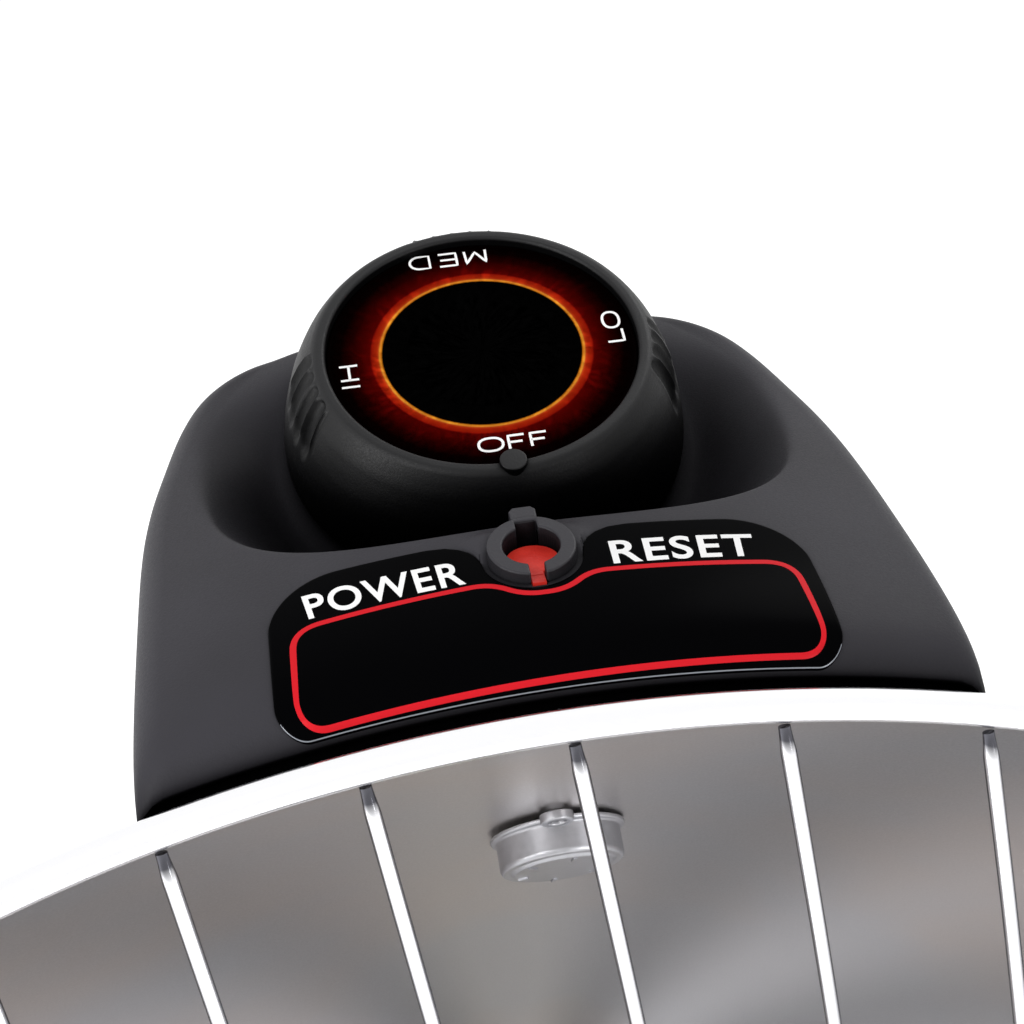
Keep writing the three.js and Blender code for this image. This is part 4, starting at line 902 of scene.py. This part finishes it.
def zinc(name, colour, rough_low=0.3, cell=1.2):
    """Bright zinc or drawn aluminium: soft mirror with drawing marks of the cell size in mm."""
    material, tree, place = finish(name)
    mark = add(tree, "TexNoise", {"Scale": 1000.0 / cell, "Detail": 4.0}, {"Vector": place})
    tone = add(tree, "HueSaturation", {"Color": linear(colour)},
               {"Value": add(tree, "MapRange", {"To Min": 0.85, "To Max": 1.1},
                             {"Value": mark.outputs["Fac"]}).outputs[0]})
    rough = add(tree, "MapRange", {"To Min": rough_low, "To Max": rough_low + 0.15},
                {"Value": mark.outputs["Fac"]})
    bump = add(tree, "Bump", {"Strength": 0.15, "Distance": 0.0001}, {"Height": mark.outputs["Fac"]})
    shader = add(tree, "BsdfPrincipled", {"Metallic": 1.0},
                 {"Base Color": tone.outputs[0], "Roughness": rough.outputs[0], "Normal": bump.outputs[0]})
    return surfaced(material, tree, shader)


cap_r = 0.692 * DISH_R
cap_lean = np.arctan(2 * DISH_DEPTH * cap_r / DISH_R ** 2)
cap_line = eased([[0, -7.6], [8.4, -7.6], [9.0, -7.0], [10.3, -7.2], [CAP_R, -6.5], [CAP_R, -1.9],
                  [11.6, -1.7], [11.7, -1.0], [0, -1.0]], 0.4, 5, closed=False)
cap = turned(cap_line, "y", 128)
ribs = []
for a in np.radians([20, 80, 140, 200, 260, 320]):
    c, s = np.cos(a), np.sin(a)
    corner = np.array([[6.4, -0.35], [8.1, -0.35], [8.1, 0.35], [6.4, 0.35]]) @ np.array([[c, s], [-s, c]])
    ribs.append(prism(corner, -7.9, -7.4, "y"))
eyelet = spun(eased([[1.5, -1.0], [2.9, -1.0], [2.8, -2.6], [1.6, -2.6]], 0.3, 4), "y", 40, [-1.0, 0, 12.9])


def on_dish(points):
    """From the cap's own frame to the head's: leaned to lie on the reflector, moved out to its place."""
    c, s = np.cos(cap_lean), np.sin(cap_lean)
    p = np.asarray(points, float)
    return np.stack([p[..., 0] + CAP_X, c * p[..., 1] - s * p[..., 2] + DISH_DEPTH * (1 - (cap_r / DISH_R) ** 2),
                     s * p[..., 1] + c * p[..., 2] + cap_r], -1)


cap_metal = zinc("drawn_aluminium_cap", "#b4b4b8", 0.3)
piece("thermostat_cap", [(on_dish(p), f) for p, f in [quads(cap, True), eyelet] + ribs], "head",
      ["limit_thermostat"], cap_metal, crease=40)


# ---------------------------------------------------------------------------- heating element
# A glazed ceramic core with resistance wire wound on it, screwed into a ceramic socket at the dish's
# vertex. A rod runs through it and is nutted at both ends; a post takes the coil's other end.
def glazed(name, colour, speck):
    """Fired ceramic: off-white with darker specks about 1.5 mm apart under a thin glaze."""
    material, tree, place = finish(name)
    spots = add(tree, "TexNoise", {"Scale": 700.0, "Detail": 5.0}, {"Vector": place})
    mask = add(tree, "MapRange", {"From Min": 0.58, "From Max": 0.7}, {"Value": spots.outputs["Fac"]})
    tone = add(tree, "Mix", {"data_type": "RGBA", 6: linear(colour), 7: linear(speck)}, {0: mask.outputs[0]})
    bump = add(tree, "Bump", {"Strength": 0.1, "Distance": 0.0001}, {"Height": spots.outputs["Fac"]})
    shader = add(tree, "BsdfPrincipled", {"IOR": 1.52, "Roughness": 0.3},
                 {"Base Color": tone.outputs[2], "Normal": bump.outputs[0]})
    return surfaced(material, tree, shader)


ceramic = glazed("glazed_white_ceramic", "#e6e2d8", "#cfc8b8")
core = eased([[3, 6], [13.5, 6], [13.5, 9.5], [10.4, 9.5], [10.4, 92.1], [13.5, 92.1], [13.5, 95.6], [3, 95.6]],
             0.7, 5)
piece("ceramic_core", [spun(core, "y", 96)], "head", ["element_core"],
      ceramic)
socket = eased([[3, 96], [19.6, 96], [19.6, 110.2], [27, 110.2], [27, 114.5], [19.6, 114.5], [19.6, 127],
                [3, 127]], 0.8, 5)
piece("ceramic_socket", [spun(socket, "y", 128)], "head", ["element_socket"],
      ceramic)


def helix(radius, turns, steps, low, high, rise):
    """A coil's path and its outward directions: even turns about axis 1 (Y) or 2 (Z), from low to high."""
    a = np.linspace(0, 2 * np.pi * turns, steps)
    way = np.insert(circle(1.0, a), rise, 0.0, axis=1)
    path = radius * way
    path[:, rise] = np.linspace(low, high, steps)
    return path, way


coil_path, coil_way = helix(11.7, 10, 960, 13, 88, 1)
alloy = zinc("oxidised_heating_alloy", "#6b6664", 0.42, 0.6)
piece("heating_coil", [tube(coil_path, coil_way, 0.9, 0.9, 10)], "head", ["element_coil"],
      alloy, crease=60)


# ---------------------------------------------------------------------------- back cover and its fittings
# A moulded black cover over the element's terminals, held by four screws, with a rubber bushing for
# the cord, the pivot block below it and a round carry handle above.
def softened(name, node, body, material, width=0.6):
    """The CAD node's own form as a finer piece: smooth across shallow angles, its edges rounded."""
    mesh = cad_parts[node].data.copy()
    mesh.materials.clear()
    made = placed(name, mesh, body, [node], material, 35)
    soft_edges(made, width, 35).harden_normals = True
    return made


black_plastic = charcoal("black_moulded_plastic", "#262629", "#212124", 0.4, 0.3, 0.5)
softened("back_cover", "spine_cover", "head", black_plastic, 1.0)
softened("pivot_mount", "pivot_block", "head", black_plastic, 1.0)


def rubber():
    """Soft black rubber: matt, with a bloom of fine specks 0.5 mm apart."""
    material, tree, place = finish("black_rubber_matt")
    bloom = add(tree, "TexNoise", {"Scale": 2000.0, "Detail": 2.0}, {"Vector": place})
    tone = add(tree, "Mix", {"data_type": "RGBA", 6: linear("#131314"), 7: linear("#1d1d1f")},
               {0: bloom.outputs["Fac"]})
    bump = add(tree, "Bump", {"Strength": 0.3, "Distance": 0.0001}, {"Height": bloom.outputs["Fac"]})
    shader = add(tree, "BsdfPrincipled", {"IOR": 1.5, "Roughness": 0.75},
                 {"Base Color": tone.outputs[2], "Normal": bump.outputs[0]})
    return surfaced(material, tree, shader)


black_rubber = rubber()
COVER_Y, BUSH_Z = 152.0, -62.0
bush = eased([[3.8, COVER_Y - 8], [6.2, COVER_Y - 8], [6.2, COVER_Y + 0.3], [9, COVER_Y + 0.3],
              [8.4, COVER_Y + 2.6], [3.8, COVER_Y + 3.4]], 0.6, 5)
piece("rubber_bushing", [spun(bush, "y", 72, [0, 0, BUSH_Z])], "head",
      ["cord_bushing"], black_rubber)

a, b = 0.45, 2.0
cross_slot = np.array([[-b, -a], [-a, -a], [-a, -b], [a, -b], [a, -a], [b, -a], [b, a], [a, a], [a, b], [-a, b],
                       [-a, a], [-b, a]])
screw_metal = zinc("zinc_plated_screw", "#a8a8ae", 0.28)
screw_line = eased([[0, COVER_Y + 0.2], [3.6, COVER_Y + 0.2], [3.6, COVER_Y + 1.1], [2.7, COVER_Y + 2.1],
                    [0, COVER_Y + 2.45]], 0.5, 5, closed=False)
for number, (sx, sz) in enumerate(((-28, 48), (28, 48), (-28, -44), (28, -44)), 1):
    screw = piece(f"screw_{number}", [spun(screw_line, "y", 48, [sx, 0, sz], False)], "head",
                 [f"cover_screw_{number}"], screw_metal)
    cut(screw, [prism(cross_slot + [sx, sz], COVER_Y + 1.2, COVER_Y + 4, "y")])

HANDLE_Y, HANDLE_Z = 116.4, 150.0
grip = smooth_path([[-30, 2, 0], [-30.5, 14, 1], [-27, 26, 2], [-14, 32, 3], [14, 32, 3], [27, 26, 2],
                    [30.5, 14, 1], [30, 2, 0]], 14) + [0, HANDLE_Y, HANDLE_Z]
boss = eased([[0, HANDLE_Y], [8.5, HANDLE_Y], [8.5, HANDLE_Y + 3.2], [6.6, HANDLE_Y + 4.2], [0, HANDLE_Y + 4.2]],
             0.5, 4, closed=False)
grip_shells = [tube(grip, np.array([0, 0, 1.0]), 6.0, 6.0, 32)]
grip_shells += [spun(boss, "y", 64, [x0, 0, HANDLE_Z], False) for x0 in (-30, 30)]
piece("grip_handle", grip_shells, "head", ["carry_handle"], black_plastic, crease=40)


# ---------------------------------------------------------------------------- yoke and pivot
# A bent steel yoke, painted satin black, that carries the head between its cheeks on one bolt. A
# friction washer on each side of the pivot block holds the tilt.
PIVOT_Y, PIVOT_Z, CHEEK_IN, CHEEK_OUT = 105.0, -135.0, 35.6, 40.6
YOKE_LOW, YOKE_FRONT, YOKE_BACK, CHEEK_R = -247.75, 74.0, 138.0, 17.0
arc = np.radians(np.linspace(-8, 188, 60))
cheek = np.vstack([circle(CHEEK_R, arc) + [PIVOT_Y, PIVOT_Z], [[YOKE_FRONT, YOKE_LOW], [YOKE_BACK, YOKE_LOW]]])
bed = [[-CHEEK_IN, YOKE_FRONT], [CHEEK_IN, YOKE_FRONT], [CHEEK_IN, YOKE_BACK], [-CHEEK_IN, YOKE_BACK]]
steel_yoke = piece("steel_yoke", [prism(cheek, -CHEEK_OUT, -CHEEK_IN, "x"), prism(cheek, CHEEK_IN, CHEEK_OUT, "x"),
                                  prism(bed, YOKE_LOW, YOKE_LOW + 5)], "stand", ["yoke"],
                   black_enamel)
soft_edges(steel_yoke, 0.8, 50)

pivot_at = np.array([0, PIVOT_Y, PIVOT_Z])
bolt_line = eased([[0, -46.6], [6, -46.0], [9, -43.1], [9, -40.9], [4, -40.9], [4, 48.8], [3.2, 49.6], [0, 49.6]],
                  0.6, 5, closed=False)
piece("pivot_screw", [spun(bolt_line, "x", 64, pivot_at, False)], "stand", ["pivot_bolt"],
      screw_metal)
softened("pivot_lock_nut", "pivot_nut", "stand", screw_metal, 0.5)
for side, name in ((-1, "left"), (1, "right")):
    washer = eased([[4.25, 33.25], [15, 33.25], [15, 35.35], [4.25, 35.35]], 0.3, 4)
    piece(f"washer_{name}", [quads(turned(washer, "x", 96) * [side, 1, 1] + pivot_at, True, True)], "stand",
          [f"friction_washer_{name}"], black_rubber)


# ---------------------------------------------------------------------------- base
# A moulded round cover over a cast ballast ring on a steel plate, on four rubber feet.
BASE_R, BASE_TOP, FOOT_AT = 150.0, 42.0, 90.0
hill = smooth_path([[0, BASE_TOP], [45, BASE_TOP], [88, BASE_TOP - 0.4], [122, 37], [143, 26], [149.9, 14],
                    [BASE_R, 7.2]], 16)
inside = smooth_path([[0, 39.4], [45, 39.4], [87.6, 39], [121, 34.4], [141, 24.4], [147.3, 13.6],
                      [147.4, 7.2]], 16)[::-1]
piece("base_shell", [spun(np.vstack([hill, inside]), "z", 240, ring=False)], "stand", ["base_cover"],
      black_plastic, FLOOR)
plate = eased([[0, 5], [BASE_R, 5], [BASE_R, 6.9], [0, 6.9]], 0.3, 4, closed=False)
piece("floor_plate", [spun(plate, "z", 200, ring=False)], "stand", ["base_plate"],
      zinc("zinc_plated_sheet", "#8a8e94", 0.35, 3.0), FLOOR)
pad = eased([[0, 0], [11, 0], [12.5, 1.2], [12.5, 4.75], [0, 4.75]], 0.5, 4, closed=False)
for name, fx, fy in (("front_left", -1, -1), ("front_right", 1, -1), ("rear_left", -1, 1), ("rear_right", 1, 1)):
    piece(f"rubber_foot_{name}", [spun(pad, "z", 64, [fx * FOOT_AT, fy * FOOT_AT, 0], False)], "stand",
          [f"foot_{name}"], black_rubber, FLOOR)


# ---------------------------------------------------------------------------- parts inside
# The shaft, thermostat, switches, lamp, buzzer, terminals, plates and the tip-over pendulum keep their
# CAD form in their own finishes. The button's spring is wound anew, with a mesh of its own.
def neon_glass():
    """The pilot lamp's glass: amber, with a soft streak, glowing faintly."""
    material, tree, place = finish("amber_neon_glass")
    streak = add(tree, "TexNoise", {"Scale": 500.0}, {"Vector": place})
    tone = add(tree, "Mix", {"data_type": "RGBA", 6: linear("#d07040"), 7: linear("#f0a060")},
               {0: streak.outputs["Fac"]})
    shader = add(tree, "BsdfPrincipled", {"IOR": 1.5, "Roughness": 0.1, "Emission Strength": 0.5},
                 {"Base Color": tone.outputs[2], "Emission Color": tone.outputs[2]})
    return surfaced(material, tree, shader)


# The button's spring: four turns of wire, 2.5 mm in radius, round the bore.
spring_path, spring_way = helix(2.5, 4, 200, 203.25, 207.15, 2)
spring = piece("return_spring", [tube(spring_path + [0, RING_Y, 0], spring_way, 0.25, 0.25, 8)], "head",
               ["reset_spring"], zinc("spring_steel_wire", "#b0b0b4", 0.3), crease=60)
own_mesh(spring)

INSIDE = {"knob_shaft": zinc("turned_steel_shaft", "#b8b8bc", 0.25),
          "control_thermostat": glazed("brown_phenolic_moulding", "#5a4632", "#46341f"),
          "reset_switch": black_plastic, "buzzer": black_plastic, "tip_microswitch": black_plastic,
          "pilot_lamp": neon_glass(),
          "inner_plate": zinc("zinc_plated_bracket", "#a4a8ac", 0.35, 3.0),
          "terminal_block": ceramic, "ballast": glazed("rough_cast_iron", "#454547", "#333335"),
          "tip_frame": zinc("zinc_plated_frame", "#a8acb0", 0.35, 3.0),
          "tip_pin": zinc("ground_steel_pin", "#c0c0c4", 0.2),
          "tip_pendulum": zinc("brass_bob", "#b8964e", 0.25)}
for node, finish_used in INSIDE.items():
    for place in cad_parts[node].material_slots:
        place.material = finish_used
for name, node in (("rod", "element_rod"), ("post", "element_post"), ("front_nut", "element_front_nut"),
                   ("rear_nut", "element_rear_nut")):
    softened(f"element_{name}_plated", node, "head", screw_metal, 0.2)
